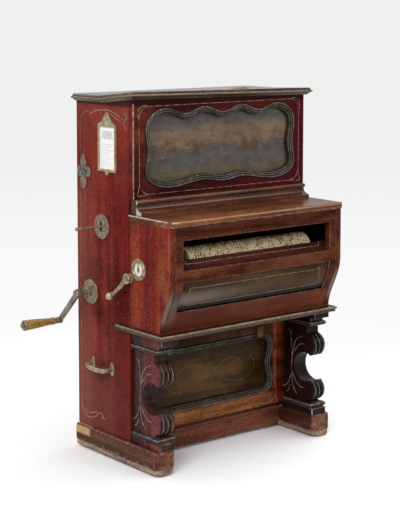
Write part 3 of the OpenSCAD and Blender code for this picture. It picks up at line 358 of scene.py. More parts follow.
def polished_wood(name, deep, body, pale, run="Z", gloss=(0.25, 0.45), flecks=0.35, coat=0.05, seed=0.0,
                  age=None):
    """French-polished hardwood: long grain, cloudy polish, pores, small knocks and worn pale flecks."""
    wood = Finish(name)
    stretch = GRAIN_ALONG[run]
    short = tuple(0.3 if c < 1 else 1 for c in stretch)
    grain = wood.noise(30.0, stretch, detail=6.0, rough=0.62, shift=(seed, seed, seed), distort=0.5)
    figure = wood.noise(7.0, stretch, detail=3.0, shift=(seed + 3, seed, seed))
    pores = wood.noise(330.0, stretch, detail=2.0, rough=0.7)
    streak = wood.math("ADD", wood.times(grain, 0.55), wood.times(figure, 0.45))
    wood.colour = wood.ramp(streak, (0.40, deep), (0.50, body), (0.61, pale))
    wood.cover(deep, wood.patches(6.5, 0.38, 0.66, high=0.75, detail=5.0, rough=0.65, shift=(seed, 2, 1)))
    speckle = wood.noise(300.0, short, detail=3.0, rough=0.8, shift=(seed, 1, 7))
    wood.shade(wood.ramp(speckle, (0.34, 0.48), (0.50, 1.0), (0.68, 1.85)), 1.0)
    wood.cover(tuple(0.4 * c for c in deep), wood.ramp(pores, (0.54, 0.0), (0.70, 0.6)))
    knocks = wood.patches(120.0, 0.66, 0.74, detail=3.0, rough=0.8, shift=(seed, 5, 0))
    wood.cover((0.38, 0.22, 0.15), knocks, flecks)
    if age:
        age(wood)
    wood.relief(wood.math("ADD", wood.times(pores, 0.5), grain), 0.12, 0.0006)
    wood.set("Coat Weight", coat)
    wood.set("Coat Roughness", 0.14)
    wood.set("Specular IOR Level", 0.03)
    smears = wood.patches(9.0, 0.35, 0.70, *gloss, detail=6.0, rough=0.7, shift=(0, seed, 4))
    return wood.finish(wood.colour, smears)


def worn_and_highlit_edge(name, dark, pale, whole=0.55):
    """Polish rubbed through along an edge: broken pale wood between dark remains. Also serves painted
    highlights and painted shade strips.
    """
    spread = 0.11
    edge = Finish(name)
    rub = edge.noise(55.0, detail=5.0, rough=0.7)
    grit = edge.noise(260.0, detail=2.0)
    colour = edge.ramp(rub, (whole - spread, dark), (whole + spread, pale))
    colour = edge.blend(edge.ramp(grit, (0.5, 0.0), (0.7, 0.4)), colour, dark)
    edge.set("Specular IOR Level", 0.2)
    edge.relief(grit, 0.15, 0.0005)
    return edge.finish(colour, edge.ramp(rub, (0.3, 0.35), (0.7, 0.6)))


def dress(node, material, edge=0.0, segments=2, rubbed=None):
    """Gives a CAD solid its finish and, where asked, softly rounded edges, rubbed pale or not."""
    solid = nodes[node]
    solid.data.materials.clear()
    solid.data.materials.append(material)
    if edge:
        solid.modifiers.new("joined", "WELD").merge_threshold = 1e-5
        rounding = solid.modifiers.new("edges", "BEVEL")
        rounding.width = edge
        rounding.segments = segments
        rounding.limit_method = "ANGLE"
        rounding.angle_limit = radians(40)
        if rubbed:
            solid.data.materials.append(rubbed)
            rounding.material = 1
        solid.modifiers.new("shading", "WEIGHTED_NORMAL")


def plinth_age(wood):
    """Bare tan wood where a block was lost behind on the left, painted shade on the right runner's sides,
    scuffed lower edges.
    """
    wood.cover((0.42, 0.27, 0.13), wood.band("Y", -0.085, -0.070), wood.band("Z", 0.045, 0.050),
               wood.band("X", -0.340, -0.345))
    # Painted shade on the side faces of the right runner.
    wood.shade((0.50, 0.34, 0.32), wood.ends(), wood.band("X", 0.0, 0.1))
    wood.cover((0.28, 0.17, 0.11), wood.band("Z", 0.036, 0.026), wood.patches(60.0, 0.45, 0.6, high=0.7))


rubbed_red = worn_and_highlit_edge("rubbed_red", (0.070, 0.016, 0.010), (0.26, 0.125, 0.078))
plinth_red = polished_wood("plinth_mahogany", (0.060, 0.024, 0.014), (0.145, 0.064, 0.038),
                           (0.25, 0.130, 0.085), run="Y", flecks=0.5, seed=1.0, age=plinth_age)
dress("plinths", plinth_red, 0.003, rubbed=rubbed_red)
skid_bare = polished_wood("skid_softwood", (0.13, 0.085, 0.058), (0.27, 0.19, 0.135), (0.42, 0.32, 0.24),
                          run="Y", gloss=(0.6, 0.8), flecks=0.5, coat=0.0, seed=2.0)
dress("skids", skid_bare, 0.004, 3)


def forged_iron(name, shade):
    iron = Finish(name)
    scale = iron.noise(180.0, detail=5.0, rough=0.7)
    colour = iron.ramp(scale, (0.35, tuple(0.6 * c for c in shade)), (0.7, tuple(1.5 * c for c in shade)))
    iron.set("Metallic", 0.6)
    iron.relief(scale, 0.2, 0.0005)
    return iron.finish(colour, iron.ramp(scale, (0.3, 0.45), (0.7, 0.7)))


dark_iron = forged_iron("glide_iron", (0.05, 0.048, 0.045))
dress("glides", dark_iron, 0.001)


# Case carcass: two side boards of red mahogany on end, a bottom board and a boarded back under three battens.
# The boards are glued and nailed, the battens screwed. Pale strings of inlay make an arch at the top
# of each side and a scroll at its foot.
left_face, right_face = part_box("left_side_board")[0].x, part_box("right_side_board")[1].x
under_lid = 1.112


def side_age(wood):
    """Scratches, a paler top with painted sheen, dull wear low down and behind, deep red in front, painted
    shade under the lid and painted shadows round the fittings.
    """
    scratches = wood.patches(210.0, 0.655, 0.70, stretch=(1, 1, 0.035), detail=2.0, rough=0.5,
                             shift=(4, 1, 2))
    wood.cover((0.30, 0.15, 0.11), scratches, wood.patches(7.0, 0.46, 0.66, high=0.4, shift=(1, 1, 6)))
    # Paler, pinker top in patches: painted sheen where the polish catches light at a grazing angle.
    top_sheen = wood.patches(9.0, 0.3, 0.7, 0.25, 0.75, shift=(2, 2, 2))
    wood.cover((0.25, 0.058, 0.042), wood.band("Z", 0.90, 1.13), top_sheen)
    bloom = wood.patches(5.5, 0.46, 0.68, high=0.55, stretch=(1, 1, 0.45), detail=4.0, rough=0.6,
                         shift=(7, 3, 1))
    wood.cover((0.20, 0.024, 0.015), bloom)
    wood.cover((0.105, 0.028, 0.019), wood.band("Z", 0.46, 0.15), 0.5)
    wood.cover((0.23, 0.075, 0.050), wood.band("Y", -0.12, -0.03), wood.band("Z", 0.95, 0.80), 0.40)
    wood.shade((0.88, 0.28, 0.28), wood.band("Y", -0.17, -0.25), wood.band("Z", 0.90, 0.80), 0.8)
    # Painted shade: a dark band under the lid's overhang.
    wood.cover((0.014, 0.003, 0.002), wood.band("Z", under_lid, 1.121), 0.8)
    # Painted shadows below and round the brass fittings on the left board.
    for d, z, reach in ((0.135, 0.700, 0.060), (0.125, 0.465, 0.060), (0.215, 0.560, 0.075),
                        (0.138, 0.262, 0.050), (0.255, 0.500, 0.050)):
        wood.shade((0.30, 0.25, 0.25), wood.near((left_face, -d, z), 0.010, reach), 0.55)
    wood.dust((0.36, 0.15, 0.11), 0.5)


side_red = polished_wood("side_mahogany", (0.046, 0.003, 0.002), (0.112, 0.006, 0.004), (0.20, 0.023, 0.013),
                         flecks=0.5, seed=0.3, age=side_age)
for side in ("left", "right"):
    dress(side + "_side_board", side_red, 0.002, rubbed=rubbed_red)


def flowing(points, steps=6):
    """A smooth line through measured points, given in millimetres, as metres."""
    line, last = [], len(points) - 1
    for i in range(last):
        p0, p1, p2, p3 = (points[max(0, min(last, k))] for k in (i - 1, i, i + 1, i + 2))
        for t in (step / steps for step in range(steps)):
            line.append(tuple(0.0005 * (2 * b + (c - a) * t + (2 * a - 5 * b + 4 * c - d) * t * t
                                        + (3 * b - a - 3 * c + d) * t ** 3)
                              for a, b, c, d in zip(p0, p1, p2, p3)))
    return line + [tuple(0.001 * c for c in points[-1])]


def string_inlay(name, dark, pale):
    """Fine strings of pale holly let into the veneer, broken and dirty in places."""
    holly = Finish(name)
    dirt = holly.noise(60.0, detail=5.0, rough=0.7)
    fibre = holly.patches(400.0, 0.4, 0.8, high=0.3, detail=2.0)
    colour = holly.blend(fibre, holly.ramp(dirt, (0.38, dark), (0.55, pale)), dark)
    holly.set("Specular IOR Level", 0.2)
    return holly.finish(colour, holly.ramp(dirt, (0.3, 0.35), (0.7, 0.5)))


def on_left(d, z, h):
    """A point on the left side: distance in front of the back, height, and how far it stands out."""
    return left_face - h, -d, z


def on_right(d, z, h):
    return right_face + h, -d, z


side_strings = [
    (1.8, [(23, 1060), (25, 1071), (34, 1084), (48, 1090), (62, 1094), (72, 1092), (75, 1086), (68, 1083)]),
    (2.8, [(76, 1086), (101, 1096), (130, 1101), (166, 1103), (194, 1099), (223, 1090), (244, 1080),
           (256, 1075)]),
    (1.6, [(156, 1096), (187, 1091), (216, 1079), (248, 1066)]),
    (1.8, [(255, 1094), (266, 1098), (274, 1091), (271, 1080), (258, 1073)]),
    (1.6, [(256, 1070), (262, 1056), (271, 1046)]),
    (2.2, [(18, 162), (17, 140), (24, 121), (39, 109), (60, 105), (82, 110), (100, 118), (111, 128),
           (124, 133), (133, 130), (135, 121), (147, 116)]),
    (1.6, [(30, 130), (42, 120), (58, 118), (80, 124), (97, 131), (103, 127)]),
    (0.9, [(18, 165), (18, 400), (19, 700), (20, 1055)]),
]
string_rise = 0.0003
side_holly = string_inlay("side_holly", (0.16, 0.060, 0.040), (0.46, 0.30, 0.215))
side_lines = Shape()
for width, path in side_strings:
    for place in (on_left, on_right):
        side_lines.ribbon(flowing(path), 0.001 * width, string_rise, place)
side_lines.fit("side_inlay", side_holly, "case", "worn_wood")


def plain_wood(name, deep, pale, run="Z", seed=0.0):
    """Unpolished inner wood with open grain and dust."""
    wood = Finish(name)
    grain = wood.noise(30.0, GRAIN_ALONG[run], detail=6.0, rough=0.65, shift=(seed, 0, 0), distort=0.4)
    dust = wood.noise(12.0, detail=5.0, rough=0.7, shift=(0, seed, 0))
    colour = wood.ramp(grain, (0.35, deep), (0.68, pale))
    colour = wood.blend(wood.ramp(dust, (0.5, 0.0), (0.8, 0.3)), colour, tuple(0.6 * c for c in deep))
    wood.relief(grain, 0.25, 0.0008)
    wood.set("Specular IOR Level", 0.2)
    return wood.finish(colour, wood.ramp(dust, (0.3, 0.55), (0.7, 0.8)))


dress("back_boards", plain_wood("back_pine", (0.11, 0.055, 0.028), (0.24, 0.14, 0.075), "Z", 1.0), 0.001)
dress("bottom_board", plain_wood("bottom_pine", (0.10, 0.055, 0.03), (0.20, 0.12, 0.07), "X", 2.0), 0.001)
back_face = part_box("back_boards")[1].y
board_width, board_count, batten_reach, screw_spread = 0.110, 6, 0.315, 0.014
batten_edge = [(-0.001, -0.030), (0.006, -0.030), (0.008, -0.027), (0.008, 0.027), (0.006, 0.030),
               (-0.001, 0.030)]
screw_head = [(0.0070, 0.0036), (0.0086, 0.0036), (0.0094, 0.0024), (0.0096, 0.0004)]
battens, back_screws, back_seams = Shape(), Shape(), Shape()
for level in (0.155, 0.610, 1.065):
    battens.run(batten_edge, (-batten_reach, 0.0, batten_reach),
                lambda x, y, z: (x, back_face + y, level + z))
    for board in range(board_count):
        for rise in (-screw_spread, screw_spread):
            x, z = board_width * (board - 0.5 * (board_count - 1)), level + rise
            back_screws.turned(screw_head, lambda h, u, v: (x + u, back_face + h, z + v), sides=12)
for seam in range(1, board_count):
    x = board_width * (seam - 0.5 * board_count)
    back_seams.ribbon([(x, z) for z in (0.085, 0.6, 1.128)], 0.0030, 0.0003,
                      lambda a, z, h: (a, back_face + h, z))
batten_pine = plain_wood("batten_pine", (0.13, 0.070, 0.036), (0.27, 0.165, 0.092), "X", 8.0)
seam_dirt = plain_wood("seam_dirt", (0.010, 0.006, 0.004), (0.030, 0.018, 0.011), "Z", 9.0)
battens.fit("back_battens", batten_pine, "case", "inner_wood")
back_screws.fit("back_screws", dark_iron, "case", "iron")
back_seams.fit("back_seams", seam_dirt, "case", "inner_wood")


# Strung back: a beech frame, a spruce soundboard with its bridge, a wrest plank with steel pins,
# and one steel string a note from the pins over the bridge to the lower rail.
beech = plain_wood("frame_beech", (0.22, 0.12, 0.06), (0.40, 0.26, 0.15), "Z", 3.0)
dress("back_frame", beech, 0.001)
dress("soundboard", plain_wood("spruce", (0.36, 0.23, 0.11), (0.55, 0.39, 0.21), "Z", 4.0))
dress("wrest_plank", plain_wood("plank_beech", (0.24, 0.13, 0.065), (0.42, 0.27, 0.16), "X", 5.0), 0.001)


def worn_metal(name, dark, bright, patina=None, metallic=0.9):
    """Old bare metal: brushed tone, tarnish clouds and fine pitting."""
    metal = Finish(name)
    clouds = metal.noise(45.0, detail=6.0, rough=0.7)
    pits = metal.noise(420.0, detail=2.0)
    colour = metal.ramp(clouds, (0.32, dark), (0.62, bright))
    if patina:
        spots = metal.patches(85.0, 0.48, 0.64, high=0.85, detail=4.0, rough=0.75, shift=(3, 1, 2))
        colour = metal.blend(spots, colour, patina)
    metal.set("Metallic", metallic)
    metal.relief(metal.math("ADD", pits, clouds), 0.10, 0.0004)
    return metal.finish(colour, metal.ramp(clouds, (0.3, 0.55), (0.7, 0.30)))


string_steel = worn_metal("string_steel", (0.25, 0.25, 0.24), (0.55, 0.55, 0.53))
dress("strings", string_steel)
dress("tuning_pins", string_steel)


# Lower front: an apron rail between the plinths, and a veneered frame round a panel in a silvered grey
# moulding with drawn-in sides. The frame lifts out when two wooden turn buttons are turned,
# and a pale string runs round it.
rail_red = polished_wood("rail_mahogany", (0.080, 0.024, 0.013), (0.170, 0.060, 0.033),
                         (0.27, 0.115, 0.065), run="X", flecks=0.3, seed=5.0)
dress("apron_rail", rail_red, 0.002, rubbed=rubbed_red)
ring_low, ring_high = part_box("lower_moulding")
lower_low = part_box("lower_frame")[0]
stile_x = 0.250


def lower_frame_age(wood):
    """A redder right stile, brightened as painted light against the keybed's shade, an orange bottom rail and
    a darker strip along the foot.
    """
    # Painted light: the right stile is reddened and brightened to lift it out of the shade under the keybed.
    wood.shade((3.2, 1.25, 1.3), wood.band("X", stile_x, stile_x + 0.012), 0.8)
    wood.shade((3.0, 2.7, 2.3), wood.band("Z", ring_low.z + 0.004, ring_low.z - 0.004),
               wood.band("X", stile_x + 0.012, stile_x))
    # Darker along the foot of the frame.
    wood.cover((0.012, 0.005, 0.003), wood.band("Z", lower_low.z + 0.013, lower_low.z + 0.006), 0.85)


lower_brown = polished_wood("lower_frame_veneer", (0.022, 0.007, 0.003), (0.058, 0.022, 0.009),
                            (0.11, 0.046, 0.019), run="X", flecks=0.15, seed=6.0, age=lower_frame_age)
dress("lower_frame", lower_brown)


def swell(share):
    """A smooth climb from 0 to 1 and, past a share of 1, back down."""
    return (1 - cos(pi * share)) / 2


def ring_outline(inset, steps=12):
    """The lower moulding's closed outline: round corners, and sides that draw in at mid height, as (x, z)."""
    pinch, corner = 0.012, 0.042 - inset
    half, up, down = (ring_high.x - ring_low.x) / 2 - inset, ring_high.z - inset, ring_low.z + inset
    turn = [radians(90 * i / steps) for i in range(steps + 1)]
    right = [(half - corner + corner * sin(a), up - corner + corner * cos(a)) for a in turn]
    for share in (i / (2 * steps) for i in range(1, 2 * steps)):
        right.append((half - pinch * swell(2 * share), up - corner + (down + 2 * corner - up) * share))
    right += [(half - corner + corner * cos(a), down + corner - corner * sin(a)) for a in turn]
    return right + [(-x, z) for x, z in reversed(right)]


def bead_profile(depth):
    """Three beads side by side with quirks between, from the outer edge to the depth behind the face."""
    crown = 0.0035
    profile = [(0.0, -0.001)]
    for start, width, tall in ((0.0, 0.0075, 0.0060), (0.0078, 0.0060, 0.0040), (0.0142, 0.0050, 0.0005)):
        for share in (k / 6 for k in range(7)):
            profile.append((start + width * (0.02 + 0.96 * share),
                            tall - crown + crown * sin(pi * (0.04 + 0.92 * share))))
    return profile + [(0.0195, -0.0060), (0.0200, depth)]


BEAD_MARKS = [1] + 2 * [1, 0, 0, 0, 0, 1, 1] + [1, 0, 0, 0, 0, 1] + [1, 1]


def beaded_ring(outline, face, depth):
    """A beaded moulding round a closed outline, planted on a front; its quirks take the second material."""
    ring = Shape()
    ring.grid([[(x, face - lift, z) for x, z in outline(inset)] for inset, lift in bead_profile(depth)],
              wrap=True, marks=BEAD_MARKS)
    return ring


def silvered_gesso(name):
    """Grey silvered gesso, rubbed dark in its hollows."""
    gesso = Finish(name)
    rub = gesso.noise(70.0, detail=6.0, rough=0.7)
    colour = gesso.ramp(rub, (0.30, (0.036, 0.028, 0.022)), (0.50, (0.092, 0.074, 0.060)),
                        (0.70, (0.25, 0.212, 0.180)))
    grime = gesso.patches(14.0, 0.44, 0.70, high=0.6, detail=4.0, rough=0.6, shift=(2, 0, 1))
    colour = gesso.blend(grime, colour, (0.034, 0.024, 0.018))
    gesso.set("Metallic", 0.2)
    gesso.set("Specular IOR Level", 0.2)
    gesso.relief(rub, 0.15, 0.0005)
    return gesso.finish(colour, gesso.ramp(rub, (0.35, 0.26), (0.7, 0.45)))


silver_grey = (silvered_gesso("moulding_silver"),
               worn_and_highlit_edge("moulding_quirk", (0.010, 0.008, 0.007), (0.040, 0.030, 0.024)))
lower_ring = beaded_ring(ring_outline, lower_low.y, -0.014)
lower_ring.fit("lower_moulding_run", silver_grey, "case", "grey_moulding", "lower_moulding")


def field_age(wood):
    """Amber glow in the middle of the panel that fades to dark edges."""
    wood.cover((0.125, 0.062, 0.018), wood.band("X", -0.23, -0.05), wood.band("X", 0.23, 0.05),
               wood.band("Z", 0.15, 0.20), wood.band("Z", 0.325, 0.27),
               wood.patches(9.0, 0.35, 0.65, 0.1, 0.75, stretch=(1, 1, 2)))


def draw_pair(shape, paths, width, rise, place):
    """Lines drawn on the right half of a front and mirrored on the left."""
    for side in (-1, 1):
        for path in paths:
            shape.ribbon(flowing([(side * x, z) for x, z in path]), width, rise, place)


field_wood = polished_wood("field_walnut", (0.016, 0.008, 0.002), (0.042, 0.020, 0.005),
                           (0.09, 0.046, 0.013), run="X", gloss=(0.12, 0.3), flecks=0.1, coat=0.12,
                           seed=7.0, age=field_age)
dress("lower_field", field_wood)
field_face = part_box("lower_field")[0].y
field_scrolls = [
    [(12, 234), (50, 262), (96, 268), (132, 248), (134, 222), (112, 208), (92, 218), (94, 236)],
    [(12, 234), (50, 206), (96, 190), (140, 188), (176, 206), (188, 234), (176, 258), (158, 252)],
    [(0, 268), (20, 234), (0, 200)], [(0, 254), (10, 234), (0, 214)]]
field_lines = Shape()
draw_pair(field_lines, field_scrolls, 0.0016, 0.0002, lambda x, z, h: (x, field_face - h, z))
field_gold = string_inlay("field_gold", (0.045, 0.023, 0.009), (0.17, 0.105, 0.045))
field_lines.fit("field_ornament", field_gold, "case", "worn_wood")
lower_strings = [
    [(274, 398), (274, 250), (274, 120)], [(274, 120), (277, 104), (281, 90), (266, 89), (240, 92)],
    [(274, 120), (269, 107), (258, 97), (240, 92)], [(240, 92), (220, 92), (205, 93)],
    [(266, 398), (266, 260), (266, 140)]]
frame_strings = Shape()
draw_pair(frame_strings, lower_strings, 0.0018, string_rise, lambda x, z, h: (x, lower_low.y - h, z))
frame_strings.fit("lower_frame_inlay", side_holly, "case", "worn_wood")
button_wood = polished_wood("button_wood", (0.10, 0.055, 0.026), (0.19, 0.115, 0.058), (0.28, 0.18, 0.10),
                            seed=8.0)
for side in ("left", "right"):
    dress(side + "_turn_button", button_wood, 0.003, 3)


# Consoles: two sawn trusses, dark maroon, with reeded scrolls above and below a C-shaped hollow, leaf lines
# cut in their sides, round mouldings at both ends and a post behind. They are glued between stepped caps
# under the keybed and base blocks on the plinths.
def console_age(wood):
    """Red polish left on the flat sides, greyed where it has been handled, and painted shade over the right
    console.
    """
    wood.shade((3.1, 1.15, 1.2), wood.ends(0.75), wood.patches(16.0, 0.3, 0.7, 0.65, 1.0, shift=(6, 1, 1)))
    wood.cover((0.055, 0.026, 0.022),
               wood.patches(28.0, 0.52, 0.68, high=0.5, detail=5.0, rough=0.7, shift=(3, 3, 1)))
    # Painted shade: the right console, in the keybed's shadow, is made near black.
    wood.cover((0.008, 0.005, 0.004), wood.band("X", 0.0, 0.1), 0.86)


console_dark = polished_wood("console_maroon", (0.008, 0.003, 0.003), (0.024, 0.010, 0.008),
                             (0.062, 0.030, 0.025), gloss=(0.16, 0.32), flecks=0.25, coat=0.18, seed=9.0,
                             age=console_age)
rubbed_dark = worn_and_highlit_edge("rubbed_dark", (0.04, 0.022, 0.018), (0.30, 0.25, 0.22))
dress("console_caps", console_dark, 0.003, 3, rubbed_dark)
dress("console_bases", console_dark, 0.003, 3, rubbed_dark)
truss_low, truss_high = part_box("consoles")
truss_inner, truss_outer = 0.289, 0.341
upper_r, lower_r, hollow_r = 0.038, 0.036, 0.050
upper_scroll = Vector((truss_low.y + upper_r, 0.308))
lower_scroll = Vector((truss_low.y + lower_r, 0.157))
hollow = Vector((truss_low.y + 0.047, 0.2325))
reeds, reed_depth, slices = 3, 0.007, 36


def front_meeting(c, r, other, other_r):
    """The point nearest the front where two circles in (y, z) cross."""
    gap = other - c
    share = (r * r - other_r * other_r + gap.length_squared) / (2 * gap.length)
    rise = sqrt(r * r - share * share)
    unit = gap.normalized()
    crossings = (c + unit * share + Vector((unit.y, -unit.x)) * rise * sign for sign in (-1, 1))
    return min(crossings, key=lambda p: p.x)


def bearing(c, p):
    return atan2(p.y - c.y, p.x - c.x)


def round_part(c, r, start, end, steps, reed=0.0):
    """Points of an arc in (y, z), cut back by the reed's groove except near its ends."""
    made = []
    for k in range(steps + 1):
        a = start + (end - start) * k / steps
        reach = r - reed * min(1.0, 3.5 * sin(pi * k / steps))
        made.append((c.x + reach * cos(a), c.y + reach * sin(a)))
    return made


def console_outline(reed):
    """Two scrolls joined by the hollow in front and a long shallow hollow behind, as (y, z)."""
    back, top, foot, sag, steps = truss_high.y, truss_high.z, truss_low.z, 0.028, 14
    up = front_meeting(hollow, hollow_r, upper_scroll, upper_r)
    down = front_meeting(hollow, hollow_r, lower_scroll, lower_r)
    outline = [(back, top), (upper_scroll.x, top)]
    up_end = bearing(upper_scroll, up) % (2 * pi)
    outline += round_part(upper_scroll, upper_r, pi / 2, up_end, 20, reed)
    outline += round_part(hollow, hollow_r, bearing(hollow, up), bearing(hollow, down), 24)[1:-1]
    outline += round_part(lower_scroll, lower_r, bearing(lower_scroll, down), 1.5 * pi, 20, reed)
    outline += [(lower_scroll.x, foot), (back, foot)]
    return outline + [(back - sag * sin(pi * k / steps), foot + (top - foot) * k / steps)
                      for k in range(1, steps)]


def across(share):
    """Distance from the case middle at a share of a truss's thickness."""
    return truss_inner + (truss_outer - truss_inner) * share


post_edge = [(-0.285, 0.112), (-0.285, 0.374), (-0.314, 0.374), (-0.318, 0.370), (-0.318, 0.116),
             (-0.314, 0.112)]
# Dark strips on the outer faces along the back edge of each truss, cap and base: painted shade of the recess
# between console and case side.
shade_line_d, shade_lines = 0.2885, [(0.3411, 0.114, 0.372), (0.3431, 0.372, 0.402), (0.3471, 0.402, 0.422),
                           (0.3461, 0.078, 0.097)]
crest_start, crest_turn, crest_thick, crest_steps = 0.62 * pi, 0.76 * pi, 0.0011, 16
torus_r, torus_reach, torus_front, torus_back = 0.0078, 0.002, truss_low.y + 0.018, -0.290
truss, tori, back_posts, console_shade_lines, reed_highlights = Shape(), Shape(), Shape(), Shape(), Shape()
for side in (-1, 1):
    rows = []
    for k in range(slices + 1):
        phase = (reeds * k / slices) % 1.0
        bulge = sqrt(max(0.0, 1 - (2 * phase - 1) ** 2)) if k not in (0, slices) else 0.45
        rows.append([(side * across(k / slices), y, z) for y, z in console_outline(reed_depth * (1 - bulge))])
    truss.grid(rows, wrap=True, caps=True)
    outer, inner = side * (truss_outer + torus_reach), side * (truss_inner - torus_reach)
    for z in (0.381, 0.1065):
        tori.bead([(outer, torus_back, side, 0), (outer, torus_front, side, -1),
                   (inner, torus_front, -side, -1), (inner, torus_back, -side, 0)], z, torus_r)
    back_posts.run(post_edge, (0.2895, 0.315, 0.3405), lambda x, y, z: (side * x, y, z))
    for x, start, end in shade_lines:
        console_shade_lines.ribbon([(shade_line_d, start), (shade_line_d, (start + end) / 2), (shade_line_d, end)], 0.008, 0.0005,
                              lambda d, z, h: (side * (x + h), -d, z))
    # Thin pale strips along each reed's crest: painted highlights on the rubbed reeds.
    for centre, reach in ((upper_scroll, upper_r), (lower_scroll, lower_r)):
        for reed in range(reeds):
            rows = []
            for share in (k / crest_steps for k in range(crest_steps + 1)):
                a = crest_start + crest_turn * share
                thin = crest_thick * sin(pi * (0.06 + 0.88 * share))
                rows.append([(side * (across((reed + 0.5) / reeds) + thin * sin(b)),
                              centre.x + (reach + thin * cos(b)) * cos(a),
                              centre.y + (reach + thin * cos(b)) * sin(a)) for b in around(6)])
            reed_highlights.grid(rows, wrap=True, caps=True)
# The round mouldings are dark with one pale crest band: a painted highlight.
torus_dark = worn_and_highlit_edge("console_torus", (0.018, 0.009, 0.008), (0.060, 0.040, 0.034))
torus_highlight = worn_and_highlit_edge("torus_highlight", (0.060, 0.044, 0.038), (0.27, 0.24, 0.22), 0.52)
# Near-black finish for the painted shade strips.
shade_black = worn_and_highlit_edge("shade_black", (0.003, 0.002, 0.002), (0.010, 0.006, 0.005))
truss.fit("console_trusses", console_dark, "case", "maroon_veneer", "consoles")
tori.fit("console_round_mouldings", (torus_dark, torus_highlight), "case", "maroon_veneer")
back_posts.fit("console_back_posts", console_dark, "case", "maroon_veneer")
console_shade_lines.fit("console_shade_lines", shade_black, "case", "maroon_veneer")
reed_highlights.fit("console_reed_highlights", torus_highlight, "case", "worn_wood")
leaf_paths = [
    (2.4, [(376, 335), (360, 328), (346, 318), (337, 303), (333, 284), (327, 262)]),
    (2.2, [(385, 309), (368, 307), (354, 299), (344, 287), (338, 276)]),
    (2.2, [(308, 346), (317, 339), (321, 322), (323, 300), (325, 268), (324, 235), (322, 206)]),
    (2.2, [(324, 206), (335, 191), (344, 176), (360, 165), (372, 160), (383, 162)]),
    (2.0, [(324, 200), (328, 170), (335, 150), (351, 131)]),
    (2.0, [(320, 196), (312, 172), (299, 156), (279, 146)]),
    (1.8, [(318, 160), (309, 140), (297, 131)])]
leaf_cuts = Shape()
for x, out in ((-truss_outer, -1), (truss_outer, 1), (-truss_inner, 1), (truss_inner, -1)):
    for width, path in leaf_paths:
        leaf_cuts.ribbon(flowing(path), 0.001 * width, 0.0007, lambda d, z, h: (x + out * h, -d, z))
leaf_line = worn_and_highlit_edge("leaf_line", (0.10, 0.060, 0.048), (0.36, 0.27, 0.225), 0.50)
leaf_cuts.fit("console_leaf_lines", leaf_line, "case", "maroon_veneer")


# Keybed: a thick mahogany shelf on the case sides and the consoles, with a moulding glued round its edge.
# The moulding's two beads are worn to grey wood, and their crests carry a painted highlight.
def key_front_age(wood):
    """Orange wood through the thin polish in patches, a painted grey sheen on the left stile's curve, and a
    redder bottom rail.
    """
    wood.cover((0.150, 0.052, 0.018),
               wood.patches(11.0, 0.48, 0.66, high=0.6, stretch=(0.4, 1, 1), detail=4.0, shift=(2, 2, 5)))
    # Painted sheen: a grey-violet reflection on the lower left stile where the front curves.
    wood.cover((0.15, 0.112, 0.105), wood.band("Z", 0.455, 0.490), wood.band("Z", 0.590, 0.530),
               wood.band("X", -0.285, -0.318), 0.6)
    wood.cover((0.135, 0.030, 0.014), wood.band("Z", 0.512, 0.500), 0.45)


key_red = polished_wood("key_box_mahogany", (0.022, 0.005, 0.003), (0.070, 0.015, 0.006),
                        (0.145, 0.042, 0.016), run="X", flecks=0.3, seed=10.0, age=key_front_age)
dress("keybed", key_red, 0.001)
bed_dark = polished_wood("bed_moulding_wood", (0.012, 0.005, 0.004), (0.028, 0.010, 0.007),
                         (0.07, 0.04, 0.03), run="X", flecks=0.5, seed=12.0)
rubbed_bed = worn_and_highlit_edge("rubbed_bed", (0.045, 0.020, 0.014), (0.30, 0.21, 0.15))
dress("keybed_moulding", bed_dark, 0.004, 3, rubbed_bed)
bed_low, bed_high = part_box("keybed_moulding")
bed_beads = [
    ("keybed_upper_bead", 0.0, 0.4354, 0.0046,
     (0.085, 0.055, 0.032), (0.17, 0.125, 0.080), (0.16, 0.115, 0.075), (0.38, 0.31, 0.22)),
    ("keybed_lower_bead", 0.003, 0.4264, 0.0040,
     (0.030, 0.015, 0.010), (0.085, 0.050, 0.032), (0.075, 0.045, 0.030), (0.20, 0.14, 0.095))]
# Each bead's crest band is paler: a painted highlight.
for name, inset, z, radius, dark, worn, crest_dark, crest_highlight in bed_beads:
    x, y = bed_high.x - inset, bed_low.y + inset
    bed_bead = Shape()
    bed_bead.bead([(-x, bed_high.y, -1, 0), (-x, y, -1, -1), (x, y, 1, -1), (x, bed_high.y, 1, 0)], z, radius)
    bed_wood = (worn_and_highlit_edge(name + "_body", dark, worn),
                worn_and_highlit_edge(name + "_crest", crest_dark, crest_highlight, 0.47))
    bed_bead.fit(name, bed_wood, "case", "worn_wood")


# Cheeks: two S-curved boards of red mahogany, sawn to the box's outline, that stand on the keybed
# and are glued to the case sides.
def cheek_age(wood):
    """Orange and rubbed towards the front, dark at the case, a painted grey reflection on the curve of the
    front edge, and painted shade on the inner faces.
    """
    wood.cover((0.33, 0.12, 0.045), wood.band("Y", -0.40, -0.48), wood.patches(12.0, 0.4, 0.65, high=0.55))
    wood.shade((0.50, 0.34, 0.44), wood.band("Y", -0.325, -0.296), 0.7)
    edge = wood.rise(wood.facing("Y"), 0.35, 0.6)
    wood.shade((0.55, 0.55, 0.55), edge)
    # Painted reflection: grey sheen on the lower curve of the front edge.
    wood.cover((0.17, 0.125, 0.112), edge, wood.band("Z", 0.455, 0.49), wood.band("Z", 0.590, 0.535), 0.75)
    wood.dust((0.40, 0.19, 0.12), 0.6)
    # Painted shade: the inner faces are made near black, as inside the closed box.
    wood.cover((0.008, 0.004, 0.003), wood.rise(wood.math("ABSOLUTE", wood.along("X")), 0.3335, 0.3310))


